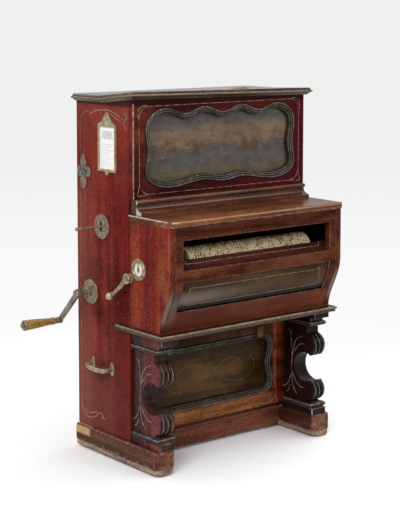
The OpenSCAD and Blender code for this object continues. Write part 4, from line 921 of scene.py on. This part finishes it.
cheek_red = polished_wood("cheek_mahogany", (0.085, 0.006, 0.004), (0.190, 0.017, 0.009),
                          (0.30, 0.056, 0.024), seed=11.0, age=cheek_age)
for side in ("left", "right"):
    dress(side + "_cheek", cheek_red, 0.0025, rubbed=rubbed_red)


# Key box front: a frame with the barrel slot above and an olive curved panel below, and a guard board
# that leans behind the slot. Panel and guard slip in from behind; fine gilt lines are painted on both.
rubbed_front = worn_and_highlit_edge("rubbed_front", (0.060, 0.026, 0.015), (0.24, 0.165, 0.115), 0.60)
dress("key_front", key_red, 0.0045, 3, rubbed_front)


def panel_age(wood):
    """A painted sheen of reflected light where the curve turns under, stronger at the left, and a painted
    black shadow at the foot.
    """
    # Painted reflection: a pale band where the curve turns under, stronger at the left.
    leftward = wood.math("ADD", wood.times(wood.band("X", 0.10, -0.32), 0.50), 0.02)
    wood.cover((0.22, 0.18, 0.148), wood.band("Z", 0.518, 0.540), wood.band("Z", 0.580, 0.546), leftward)
    # Painted shadow: a black band at the foot of the panel.
    wood.cover((0.003, 0.002, 0.002), wood.band("Z", 0.530, 0.519))


olive = polished_wood("olive_panel", (0.014, 0.006, 0.002), (0.038, 0.017, 0.005), (0.074, 0.034, 0.011),
                      run="X", gloss=(0.2, 0.32), flecks=0.15, coat=0.14, seed=13.0, age=panel_age)
dress("curved_panel", olive)
guard_red = polished_wood("guard_red", (0.026, 0.006, 0.005), (0.055, 0.013, 0.010), (0.10, 0.03, 0.02),
                          run="X", seed=14.0)
dress("barrel_guard", guard_red, 0.001)
guard_low, guard_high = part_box("barrel_guard")
guard_foot, guard_lean = 0.636, 0.006
box_front, curve_top, curve_height, curve_fall, panel_inset = -0.488, 0.609, 0.177, 0.055, 0.006


def on_panel(x, z, h):
    """A point on the curved panel, upright above and a half wave that falls back towards the keybed below."""
    return x, box_front + curve_fall * swell(max(0.0, curve_top - z) / curve_height) + panel_inset - h, z


def on_guard(x, z, h):
    return x, guard_low.y + guard_lean * (z - guard_foot) / (guard_high.z - guard_foot) - h, z


panel_line = [(0, 579), (120, 579), (246, 579), (258, 583), (266, 579), (265, 569), (272, 558), (275, 540),
              (270, 528), (255, 524), (240, 524), (0, 524)]
guard_line = [(0, 652), (140, 652), (262, 652), (272, 655), (277, 662)]
gilt_lines = Shape()
draw_pair(gilt_lines, [panel_line], 0.0020, string_rise, on_panel)
draw_pair(gilt_lines, [guard_line], 0.0020, 0.0004, on_guard)
gilt = string_inlay("gilt_line", (0.075, 0.040, 0.016), (0.27, 0.175, 0.075))
gilt_lines.fit("key_box_gilt_lines", gilt, "case", "brass")


# Key box top: a thick brown board with a round nose, glued down on the cheeks and the front.
# Pale beads along its rims are painted highlights, and dirt has settled in the joints between the box and the
# case.
def top_age(wood):
    """A painted highlight along the round of the nose, a paler painted highlight at its left end, and darker
    towards the back.
    """
    up = wood.facing("Z")
    nose = wood.times(wood.rise(up, 0.30, 0.55), wood.rise(up, 0.96, 0.80))
    # Painted highlight along the round of the nose.
    wood.cover((0.27, 0.165, 0.090), nose, 0.6)
    # Paler painted highlight at the left end of the nose.
    wood.cover((0.46, 0.39, 0.34), nose, wood.band("X", -0.310, -0.345), 0.8)
    wood.shade((0.45, 0.45, 0.45), wood.band("Y", -0.40, -0.33), 0.45)


top_brown = polished_wood("key_top_brown", (0.058, 0.019, 0.007), (0.160, 0.052, 0.019),
                          (0.30, 0.125, 0.052), run="X", flecks=0.5, coat=0.2, seed=15.0, age=top_age)
dress("key_top", top_brown, 0.001, rubbed=rubbed_red)
nose_low, nose_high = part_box("key_top")
case_front, nose_rim_x, front_rim = -0.288, 0.340, nose_low.y + 0.003
# Beads along the end rims and the nose: painted highlights of the rounded edges.
rim_highlights = Shape()
for side in (-1, 1):
    x = side * nose_high.x
    rim_highlights.bead([(x, case_front, side, 0), (x, nose_low.y + 0.014, side, 0)], 0.7862, 0.0026,
                     crest=(4, 5, 6, 7))
rim_highlights.bead([(-nose_rim_x, front_rim, 0, -1), (nose_rim_x, front_rim, 0, -1)], 0.7722, 0.0018, crest=())
rim_wood = (worn_and_highlit_edge("tan_rim", (0.085, 0.034, 0.018), (0.30, 0.18, 0.11)),
            worn_and_highlit_edge("pale_rim_highlight", (0.22, 0.17, 0.145), (0.54, 0.48, 0.44), 0.47))
rim_highlights.fit("key_box_rim_highlights", rim_wood, "case", "worn_wood")
seams = Shape()
for place in (on_left, on_right):
    for path in ([(284, 447), (284, 560), (284, 768)], [(284, 792), (284, 960), (284, 1120)]):
        seams.ribbon(flowing(path), 0.0022, 0.0003, place)
for side in (-1, 1):
    for z in (0.5045, 0.6015):
        seams.ribbon([(side * x, z) for x in (0.0, 0.100, 0.200, 0.299)], 0.0030, 0.0004, on_panel)
joint_dirt = polished_wood("joint_dirt", (0.004, 0.002, 0.002), (0.010, 0.004, 0.003), (0.03, 0.012, 0.008),
                           seed=20.0)
seams.fit("joint_lines", joint_dirt, "case", "inner_wood")


# Upper front: a stepped ledge, a dark red veneered frame and a scalloped grey moulding round a painted panel.
# The frame is screwed on from inside; a pale string with rounded and pointed corners is let into it.
def ledge_age(wood):
    """Bare pale end grain on the front part of the ends."""
    wood.cover((0.46, 0.41, 0.37), wood.ends(), wood.band("Y", -0.312, -0.317))


ledge_red = polished_wood("ledge_mahogany", (0.034, 0.010, 0.005), (0.085, 0.027, 0.013),
                          (0.17, 0.065, 0.034), run="X", gloss=(0.16, 0.3), coat=0.45, seed=16.0,
                          age=ledge_age)
ledge_low, ledge_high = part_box("ledge_moulding")
bead_y, bead_r, cove_top, cove_drop, step_top = -0.314, 0.007, 0.820, 0.019, 0.799
ledge_profile = [(ledge_high.y, ledge_high.z)]
ledge_profile += [(bead_y + bead_r * cos(a), ledge_high.z - bead_r + bead_r * sin(a))
                  for a in (radians(90 + 12 * k) for k in range(16))]
ledge_profile += [(bead_y + (ledge_low.y - bead_y) * (1 - cos(a)), cove_top - cove_drop * sin(a))
                  for a in (radians(9 * k) for k in range(1, 10))]
ledge_profile += [(ledge_low.y, step_top), (ledge_low.y, ledge_low.z), (ledge_high.y, ledge_low.z)]
ledge = Shape()
ledge.run(ledge_profile, (ledge_low.x, 0.0, ledge_high.x), lambda x, y, z: (x, y, z))
ledge.fit("ledge_run", ledge_red, "case", "mahogany", "ledge_moulding")


def front_age(wood):
    """Brown at the left where the polish has gone, crimson at the right, red ends and shade under the lid."""
    wood.cover((0.050, 0.002, 0.007), wood.band("X", -0.05, 0.30), 0.75)
    wood.cover((0.11, 0.028, 0.014), wood.band("X", -0.24, -0.33), wood.patches(14.0, 0.38, 0.62, high=0.7))
    wood.shade((2.0, 1.2, 1.1), wood.ends())
    wood.cover((0.010, 0.003, 0.002), wood.band("Z", under_lid, 1.124), 0.8)


front_maroon = polished_wood("front_veneer", (0.018, 0.002, 0.002), (0.058, 0.006, 0.005),
                             (0.115, 0.022, 0.012), run="X", gloss=(0.16, 0.32), flecks=0.25, coat=0.08,
                             seed=17.0, age=front_age)
dress("upper_frame", front_maroon, 0.002, rubbed=rubbed_red)
upper_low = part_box("upper_frame")[0]
corner_foot, corner_height, corner_inset, corner_r, corner_steps = 0.838, 0.290, 0.0006, 0.0020, 59
chance = random.Random(3)
rows = []
for k in range(corner_steps + 1):
    radius = corner_r * chance.uniform(0.7, 1.15)
    rows.append([(upper_low.x + corner_inset + radius * cos(a), upper_low.y + corner_inset + radius * sin(a),
                  corner_foot + corner_height * k / corner_steps) for a in around(8)])
worn_corner = Shape()
worn_corner.grid(rows, wrap=True, caps=True)
corner_wood = worn_and_highlit_edge("corner_wood", (0.15, 0.060, 0.042), (0.44, 0.29, 0.235), 0.50)
worn_corner.fit("upper_frame_worn_corner", corner_wood, "case", "worn_wood")
wave_low, wave_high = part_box("scalloped_moulding")


def scalloped_outline(inset, steps=14):
    """Four lobes along the top, a low middle between two crests below, drawn-in sides, as (x, z)."""
    half, top, bottom = (wave_high.x - wave_low.x) / 2 - inset, wave_high.z - inset, wave_low.z + inset
    lobe, shoulder, corner, foot, crest = half / 4, 0.068 - inset, 0.054 - inset, half - 0.093, 0.078
    dip, pinch, crest_rise, sag = 0.019, 0.008, 0.015, 0.009
    turn = [radians(90 * i / steps) for i in range(steps + 1)]
    shares = [i / steps for i in range(1, steps + 1)]
    right = [(lobe * i / steps, top - dip * (1 - swell(i / steps))) for i in range(3 * steps)]
    right += [(3 * lobe + lobe * sin(a), top - shoulder + shoulder * cos(a)) for a in turn]
    right += [(half - pinch * swell(2 * s), top - shoulder + (bottom + corner + shoulder - top) * s)
              for s in (i / (2 * steps) for i in range(1, 2 * steps))]
    right += [(foot + (half - foot) * cos(a), bottom + corner - corner * sin(a)) for a in turn]
    right += [(foot + (crest - foot) * s, bottom + crest_rise * swell(s)) for s in shares]
    right += [(crest * (1 - s), bottom + crest_rise - sag * swell(s)) for s in shares]
    return right + [(-x, z) for x, z in reversed(right[1:-1])]


upper_ring = beaded_ring(scalloped_outline, upper_low.y, -0.016)
upper_ring.fit("scalloped_moulding_run", silver_grey, "case", "grey_moulding", "scalloped_moulding")
upper_strings = [
    (1.8, [(0, 1119), (150, 1119), (296, 1119)]),
    (2.0, [(296, 1119), (304, 1122), (316, 1120), (327, 1112), (332, 1100), (332, 1090), (329, 1082)]),
    (1.8, [(296, 1119), (307, 1116), (317, 1108), (325, 1096), (329, 1082)]),
    (1.6, [(328, 1082), (327, 980), (327, 885)]),
    (2.0, [(327, 885), (330, 866), (334, 847), (316, 846), (294, 849)]),
    (1.8, [(327, 885), (323, 871), (314, 858), (294, 849)]),
    (1.6, [(294, 849), (150, 849), (0, 849)])]
front_strings = Shape()
for width, path in upper_strings:
    draw_pair(front_strings, [path], 0.001 * width, string_rise, lambda x, z, h: (x, upper_low.y - h, z))
front_holly = string_inlay("front_holly", (0.075, 0.024, 0.015), (0.36, 0.235, 0.15))
front_strings.fit("upper_frame_inlay", front_holly, "case", "worn_wood")


def painted_haze(name):
    """A faded oil sketch of rolling ground: grey sky, a brown ridge, grey flats and olive banks."""
    oil = Finish(name)
    foot, per_metre = 0.90, 4.0
    sway = oil.times(oil.noise(7.0, (1, 0, 0.2)), 0.30)
    height = oil.math("ADD", oil.times(oil.math("SUBTRACT", oil.along("Z"), foot), per_metre), sway)
    oil.colour = oil.ramp(height, (0.02, (0.060, 0.044, 0.024)), (0.16, (0.105, 0.080, 0.044)),
                          (0.30, (0.080, 0.077, 0.073)), (0.46, (0.080, 0.066, 0.054)),
                          (0.52, (0.175, 0.108, 0.062)), (0.68, (0.150, 0.104, 0.067)),
                          (0.80, (0.078, 0.072, 0.067)), (0.96, (0.058, 0.058, 0.058)))
    daubs = oil.noise(30.0, (0.8, 1, 1.5), detail=7.0, rough=0.72)
    oil.cover((0.040, 0.029, 0.021), oil.ramp(daubs, (0.46, 0.0), (0.66, 0.75)))
    growth = oil.rise(oil.noise(26.0, (1, 1, 0.6), detail=5.0, rough=0.65, shift=(8, 1, 2)), 0.50, 0.60)
    oil.cover((0.062, 0.030, 0.017), growth, oil.rise(height, 0.34, 0.42), oil.rise(height, 0.66, 0.52), 0.7)
    light = oil.patches(75.0, 0.61, 0.74, high=0.75, stretch=(0.8, 1, 2.6), rough=0.6, shift=(5, 2, 3))
    level = oil.times(oil.rise(height, 0.18, 0.30), oil.rise(height, 0.62, 0.45), 0.75)
    oil.cover((0.30, 0.25, 0.20), light, oil.math("ADD", level, 0.25))
    oil.cover((0.048, 0.036, 0.028),
              oil.patches(7.0, 0.46, 0.75, high=0.5, detail=5.0, rough=0.6, shift=(1, 4, 2)))
    oil.relief(daubs, 0.2, 0.0006)
    oil.set("Specular IOR Level", 0.2)
    oil.set("Coat Weight", 0.15)
    return oil.finish(oil.colour, oil.ramp(daubs, (0.3, 0.28), (0.7, 0.45)))


dress("picture_panel", painted_haze("painted_panel"))


# Lid: a fixed rear leaf and a front leaf on brass hinges, each with a moulded edge that hangs over the case.
# The front leaf has warped and stands up at its left; a worn bead with a painted highlight on its crest runs
# along the edge over a dark cove.
lid_brown = polished_wood("lid_wood", (0.030, 0.015, 0.008), (0.082, 0.046, 0.026), (0.18, 0.12, 0.08),
                          run="X", gloss=(0.3, 0.5), flecks=0.4, coat=0.5, seed=18.0)
lid_rub = worn_and_highlit_edge("rubbed_lid", (0.060, 0.040, 0.024), (0.19, 0.142, 0.096), 0.50)
for leaf in ("rear_lid", "front_lid"):
    dress(leaf, lid_brown, 0.002, 2, lid_rub)
lid_low, lid_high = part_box("front_lid")
rear_low, rear_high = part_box("rear_lid")
lid_bead_z, lid_bead_r, lid_highlight_bands = 1.136, 0.0034, (3, 4, 5)


def lid_lift(x, y):
    """How far the warped front leaf stands above flat."""
    return (0.013 - 0.006 * x / lid_high.x) * (lid_high.y - y) / (lid_high.y - lid_low.y)


# The bead's crest bands are paler: a painted highlight.
bead_wood = (worn_and_highlit_edge("lid_bead", (0.042, 0.028, 0.017), (0.105, 0.076, 0.048), 0.47),
             worn_and_highlit_edge("lid_bead_highlight", (0.098, 0.068, 0.038), (0.22, 0.160, 0.098), 0.47))
front_bead, rear_bead = Shape(), Shape()
lid_edge = [(lid_low.x, lid_high.y, -1, 0), (lid_low.x, lid_low.y, -1, -1), (lid_high.x, lid_low.y, 1, -1),
            (lid_high.x, lid_high.y, 1, 0)]
front_bead.bead(lid_edge, lid_bead_z, lid_bead_r, lid_lift, lid_highlight_bands)
for x, out in ((rear_low.x, -1), (rear_high.x, 1)):
    rear_bead.bead([(x, rear_low.y, out, 0), (x, rear_high.y, out, 0)], lid_bead_z, lid_bead_r,
                   crest=lid_highlight_bands)
front_bead.fit("front_lid_bead", bead_wood, "lid", "worn_wood")
rear_bead.fit("rear_lid_bead", bead_wood, "case", "worn_wood")
aged_brass = worn_metal("aged_brass", (0.14, 0.105, 0.068), (0.36, 0.29, 0.20), patina=(0.115, 0.078, 0.052),
                        metallic=0.55)
dress("lid_hinges", aged_brass)


# Card: a printed paper card behind a cast frame of gilt brass with a crest above and a drop below,
# nailed to the left side. Its rules and its block of crossed lines are ink.
card_gilt = worn_metal("card_gilt", (0.25, 0.195, 0.105), (0.54, 0.44, 0.27), patina=(0.21, 0.15, 0.085),
                       metallic=0.4)
dress("card_frame", card_gilt, 0.0012)
card_paper = Finish("card_paper")
fibre = card_paper.noise(240.0, detail=4.0)
yellowed = card_paper.ramp(fibre, (0.3, 0.0), (0.8, 0.2))
white = card_paper.blend(yellowed, (0.88, 0.87, 0.84), (0.66, 0.60, 0.50))
dress("card", card_paper.finish(white, card_paper.ramp(fibre, (0.3, 0.7), (0.7, 0.85))))
card_low, card_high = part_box("card")
card_d, card_top, ink_rise = -0.5 * (card_low.y + card_high.y), card_high.z, 0.00012
rule_count, rule_gap, rule_half, rule_drop, rule_short = 11, 0.0066, 0.034, 0.054, 0.009
block_count, block_gap, block_lean, block_drops = 8, 0.007, 0.010, (0.012, 0.025, 0.038)


def on_card(d, z, h):
    return card_low.x - h, -d, z


printing = Shape()
for row in range(rule_count):
    z = card_top - rule_drop - rule_gap * row
    rule_end = card_d + rule_half - rule_short * (row % 3)
    printing.ribbon([(card_d - rule_half, z), (card_d, z), (rule_end, z)], 0.0011, ink_rise, on_card)
for k in range(block_count):
    d = card_d + block_gap * (k - 0.5 * (block_count - 1))
    for lean in (-block_lean, block_lean):
        printing.ribbon([(d + lean * s, card_top - drop) for s, drop in zip((-1, 0, 1), block_drops)],
                        0.0016, ink_rise, on_card)
printing.fit("card_rules", string_inlay("card_ink", (0.36, 0.35, 0.33), (0.23, 0.22, 0.21)), "case", "paper")


# Lock: a cast brass plate with round arms, screwed to the left side near the back,
# and a steel key with a bow of three rings, left in the lock.
def boss_at(d, z):
    """Sets a form turned about a line square to the left side, at a place on it."""
    return lambda h, u, v: (left_face - h, -d + u, z + v)


dress("lock_plate", aged_brass, 0.0012)
lock_d, lock_z, bow_out = 0.040, 0.901, 0.0105
arm_reach, ring_reach, ring_r, wire_r = 0.021, 0.0105, 0.0078, 0.0024
arm_profile = [(0.0, 0.0165), (0.0018, 0.0165), (0.0030, 0.0145), (0.0036, 0.0100), (0.0030, 0.0065),
               (0.0040, 0.0040), (0.0044, 0.0008)]
lock_arms, key_bow = Shape(), Shape()
for reach in (-arm_reach, arm_reach):
    lock_arms.turned(arm_profile, boss_at(lock_d + reach, lock_z), sides=22)
lock_arms.fit("lock_plate_arms", aged_brass, "case", "brass")
for turn in (radians(angle) for angle in (90, 210, 330)):
    d, z = lock_d + ring_reach * cos(turn), lock_z + ring_reach * sin(turn)
    rows = []
    for t in around(18) + [2 * pi]:
        rows.append([(left_face - bow_out - wire_r * sin(a), -d + (ring_r + wire_r * cos(a)) * cos(t),
                      z + (ring_r + wire_r * cos(a)) * sin(t)) for a in around(8)])
    key_bow.grid(rows, wrap=True)
key_bow.turned([(-0.028, 0.0038), (0.004, 0.0038), (0.005, 0.0062), (0.007, 0.0062), (0.008, 0.0048),
                (0.0125, 0.0055), (0.0135, 0.0010)], boss_at(lock_d, lock_z), sides=16)
key_steel = worn_metal("key_steel", (0.05, 0.047, 0.043), (0.30, 0.29, 0.27), metallic=0.8)
key_bow.fit("lock_key_bow", key_steel, "lock_key", "brass", "lock_key")


# Stop lever and plates: two round brass plates screwed to the left side, one slotted for the stop lever
# and one round the crank shaft, and the drawn brass lever itself.
handled_brass = worn_metal("handled_brass", (0.16, 0.120, 0.062), (0.44, 0.355, 0.215),
                           patina=(0.135, 0.092, 0.050), metallic=0.55)
dress("stop_lever", handled_brass, 0.0006)
plate_head = [(0.0010, 0.0030), (0.0044, 0.0030), (0.0052, 0.0022), (0.0055, 0.0004)]
screw_share, slot_half = 0.78, 0.0026
plate_screws, screw_slots = Shape(), Shape()
for plate, count in (("stop_plate", 3), ("crank_plate", 4)):
    dress(plate, aged_brass, 0.0012)
    plate_low, plate_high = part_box(plate)
    spread = 0.5 * (plate_high.z - plate_low.z) * screw_share
    for a in (radians(45 + 360 * k / count) for k in range(count)):
        d = -0.5 * (plate_low.y + plate_high.y) + spread * cos(a)
        z = 0.5 * (plate_low.z + plate_high.z) + spread * sin(a)
        plate_screws.turned(plate_head, boss_at(d, z), sides=14)
        screw_slots.ribbon([(d + s * cos(a), z + s * sin(a)) for s in (-slot_half, 0.0, slot_half)], 0.0009,
                           0.0057, on_left, sink=-0.0040)
plate_screws.fit("plate_screws", handled_brass, "case", "brass")
screw_slots.fit("plate_screw_slots", dark_iron, "case", "iron")


# Dial and tune lever: an enamel dial in a brass bezel with its pointer, and beside it a forged brass lever
# with stacked collars and a ball end, pinned on the shaft that shifts the barrel.
dress("dial", handled_brass, 0.0006)
dress("dial_pointer", aged_brass)
dial_low, dial_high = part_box("dial")
dial_d, dial_z = -0.5 * (dial_low.y + dial_high.y), 0.5 * (dial_low.z + dial_high.z)
enamel_out, mark_out, mark_count = 0.00415, 0.00422, 10
enamel = Finish("dial_enamel")
craze = enamel.noise(120.0, detail=5.0)
enamel.finish(enamel.ramp(craze, (0.3, (0.56, 0.50, 0.37)), (0.6, (0.78, 0.74, 0.62))),
              enamel.ramp(craze, (0.3, 0.15), (0.7, 0.3)))
dial_face, dial_marks = Shape(), Shape()
dial_face.grid([[(left_face - enamel_out, -dial_d + r * cos(a), dial_z + r * sin(a)) for a in around(36)]
                for r in (0.0052, 0.0130, 0.0200)], wrap=True)
for a in around(mark_count):
    dial_marks.ribbon([(dial_d + r * cos(a), dial_z + r * sin(a)) for r in (0.0135, 0.0160, 0.0185)],
                      0.0010, mark_out, on_left, sink=-0.0041)
dial_face.fit("dial_face", enamel.material, "case", "paper")
dial_marks.fit("dial_marks", dark_iron, "case", "iron")
hub_x, hub_y, hub_z = -0.3700, -0.293, 0.594
ball_x, ball_y, ball_z, ball_r = -0.3780, -0.2160, 0.5285, 0.0120
collars = [(-0.045, 0.0070), (-0.019, 0.0070), (-0.018, 0.0150), (-0.013, 0.0150), (-0.011, 0.0100),
           (-0.005, 0.0100), (-0.004, 0.0155), (0.000, 0.0165), (0.002, 0.0150), (0.003, 0.0110),
           (0.0045, 0.0110), (0.0055, 0.0060), (0.0080, 0.0056), (0.0088, 0.0010)]
arm_steps, arm_bow, arm_sag = 12, 0.0085, 0.004
tune_arm, tune_ball = Shape(), Shape()
tune_arm.turned(collars, lambda h, u, v: (hub_x - h, hub_y + u, hub_z + v), sides=26)
rows = []
for t in (k / arm_steps for k in range(arm_steps + 1)):
    x, y = hub_x - 0.0005 - arm_bow * t * t, hub_y + (ball_y - hub_y) * t
    z = hub_z + (ball_z - hub_z) * t - arm_sag * sin(pi * t)
    wide = 0.0088 - 0.0042 * t + 0.0018 * max(0.0, 1 - abs(t - 0.86) / 0.06)
    rows.append([(x + 0.62 * wide * cos(a), y - 0.65 * wide * sin(a), z - 0.76 * wide * sin(a))
                 for a in around(12)])
tune_arm.grid(rows, wrap=True, caps=True)
tune_ball.turned([(ball_r * sin(a), max(0.0004, ball_r * cos(a)))
                  for a in (radians(15 * k) for k in range(-6, 7))],
                 lambda h, u, v: (ball_x - h, ball_y + u, ball_z + v), sides=20)
ball_brass = worn_metal("ball_brass", (0.26, 0.22, 0.125), (0.62, 0.55, 0.37), patina=(0.22, 0.17, 0.095),
                        metallic=0.45)
tune_arm.fit("tune_lever_arm", handled_brass, "tune_lever", "brass", "tune_lever")
tune_ball.fit("tune_lever_ball", ball_brass, "tune_lever", "brass")


# Carrying handles: a cast brass bow on each side, swelling in the middle, on two oval feet with turned posts.
# The feet are screwed to the boards low down.
handle_z, handle_sag = 0.288, 0.006
foot_half_wide, foot_half_tall = 0.0095, 0.0215
foot_profile = [(0.0, 1.0), (0.0025, 1.0), (0.0045, 0.86), (0.0058, 0.45), (0.0062, 0.02)]
post_profile = [(0.003, 0.0085), (0.010, 0.0060), (0.019, 0.0056), (0.025, 0.0066), (0.030, 0.0040)]
bow_line = flowing([(80, 20), (86, 24), (98, 28), (138, 31), (178, 28), (190, 24), (196, 20)], 5)
handles = Shape()
for face, out in ((left_face, -1), (right_face, 1)):
    for d in (0.086, 0.190):
        handles.grid([[(face + out * lift, -d + foot_half_wide * scale * cos(a),
                        handle_z + foot_half_tall * scale * sin(a)) for a in around(24)]
                      for lift, scale in foot_profile], wrap=True, caps=True)
        handles.turned(post_profile, lambda h, u, v: (face + out * h, -d + u, handle_z + v), sides=16)
    rows = []
    for k, (d, off) in enumerate(bow_line):
        middle = sin(pi * k / (len(bow_line) - 1))
        thick = 0.0042 + 0.0034 * max(0.0, middle) ** 0.8
        rows.append([(face + out * (off + thick * cos(a)), -d,
                      handle_z - handle_sag * middle + thick * sin(a)) for a in around(16)])
    handles.grid(rows, wrap=True, caps=True)
handles.fit("carry_handle_pair", handled_brass, "case", "brass", "carry_handles")


# Crank: a steel shaft through the left board with a bent flat arm forged on it.
# A turned wooden grip with a steel ferrule and end ring spins on the arm's pin.
crank_steel = worn_metal("crank_steel", (0.13, 0.105, 0.075), (0.34, 0.29, 0.22), patina=(0.12, 0.082, 0.052),
                         metallic=0.55)
dress("crank_shaft", crank_steel, 0.0006)
dress("crank_arm", crank_steel, 0.0015)
grip_wood = polished_wood("grip_wood", (0.21, 0.115, 0.030), (0.36, 0.215, 0.062), (0.50, 0.33, 0.125),
                          run="X", gloss=(0.14, 0.25), flecks=0.2, coat=0.6, seed=19.0)
grip_low, grip_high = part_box("crank_grip")
grip_r = 0.5 * (grip_high.z - grip_low.z)
grip_y, grip_z = 0.5 * (grip_low.y + grip_high.y), 0.5 * (grip_low.z + grip_high.z)
swelled = [(0.013, 0.50), (0.016, 0.70), (0.021, 0.74), (0.025, 0.64), (0.029, 0.66), (0.060, 0.80),
           (0.092, 0.93), (0.115, 0.98), (0.1235, 0.97)]
ferrule = [(0.0, 0.46), (0.002, 0.60), (0.006, 0.62), (0.008, 0.52), (0.012, 0.56), (0.015, 0.48)]
end_ring = [(0.1225, 0.95), (0.1235, 1.0), (0.1275, 1.0), (0.1290, 0.92), (0.1290, 0.45), (0.1275, 0.40),
            (0.1275, 0.05)]
grip, mounts = Shape(), Shape()
for shape, outline, sides in ((grip, swelled, 28), (mounts, ferrule, 24), (mounts, end_ring, 24)):
    shape.turned([(along, share * grip_r) for along, share in outline],
                 lambda h, u, v: (grip_high.x - h, grip_y + u, grip_z + v), sides)
grip.fit("grip_turning", grip_wood, "grip", "grip_wood", "crank_grip")
mounts.fit("grip_mounts", crank_steel, "grip", "steel")


# Drive: a leather belt from the crank's pulley to the first of two brass idlers, which gear down to the wheel
# on the barrel's steel arbor. The arbor turns in a sliding beech cradle.
leather = Finish("belt_leather")
hide = leather.noise(150.0, detail=5.0)
leather.relief(hide, 0.3, 0.0006)
hide_brown = leather.ramp(hide, (0.3, (0.05, 0.025, 0.012)), (0.7, (0.14, 0.075, 0.04)))
dress("drive_belt", leather.finish(hide_brown, leather.ramp(hide, (0.3, 0.5), (0.7, 0.7))))
dress("first_idler", aged_brass)
dress("second_idler", aged_brass)
dress("barrel_arbor", crank_steel)
dress("barrel_cradle", beech, 0.001)


# Barrel: a wooden cylinder covered with cream paper, set with rows of fine iron pins and staples.
# They are driven in by hand, a track for each note, and lift the hammers as the barrel turns.
barrel_paper = Finish("barrel_paper")
stain = barrel_paper.noise(30.0, detail=6.0, rough=0.7)
cream = barrel_paper.ramp(stain, (0.3, (0.30, 0.22, 0.105)), (0.65, (0.55, 0.44, 0.25)))
dress("barrel", barrel_paper.finish(cream, barrel_paper.ramp(stain, (0.3, 0.6), (0.7, 0.8))))
drum_low, drum_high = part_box("barrel")
drum_y, drum_z = 0.5 * (drum_low.y + drum_high.y), 0.5 * (drum_low.z + drum_high.z)
drum_r = 0.5 * (drum_high.z - drum_low.z)
tracks, beats, track_margin, pin_half, bare_share = 44, 30, 0.014, 0.0018, 0.36
pin_layers = ((-0.0006, 1.0), (0.0016, 0.9), (0.0020, 0.6))
chance = random.Random(7)
pins = Shape()
for track in range(tracks):
    x = drum_low.x + track_margin + (drum_high.x - drum_low.x - 2 * track_margin) * track / (tracks - 1)
    for beat in range(beats):
        if chance.random() < bare_share:
            continue
        a = radians(360 / beats * beat + 3.2 * track + chance.uniform(-2, 2))
        reach = chance.choice((0.0016, 0.0018, 0.0026, 0.0052))
        rows = []
        for lift, tight in pin_layers:
            r = drum_r + lift
            rows.append([(x + pin_half * tight * u, drum_y + r * cos(a + v * tight * reach / r),
                          drum_z + r * sin(a + v * tight * reach / r))
                         for u, v in ((-1, -1), (1, -1), (1, 1), (-1, 1))])
        pins.grid(rows, wrap=True, caps=True)
pins.fit("barrel_pins", forged_iron("pin_iron", (0.018, 0.016, 0.014)), "barrel", "iron", smooth=False)


# Action: wooden hammers on a wire in an iron rail, lifted by the barrel's pins to strike the strings,
# and a felted rail in beech guides that mutes the strings when the stop is moved.
dress("hammer_rail", dark_iron, 0.0008)
dress("hammers", plain_wood("hammer_wood", (0.045, 0.026, 0.015), (0.12, 0.075, 0.042), "Z", 6.0), 0.0005)
dress("mute_rail", plain_wood("mute_wood", (0.10, 0.03, 0.02), (0.20, 0.07, 0.05), "X", 7.0), 0.0008)
dress("rail_guides", beech, 0.0008)
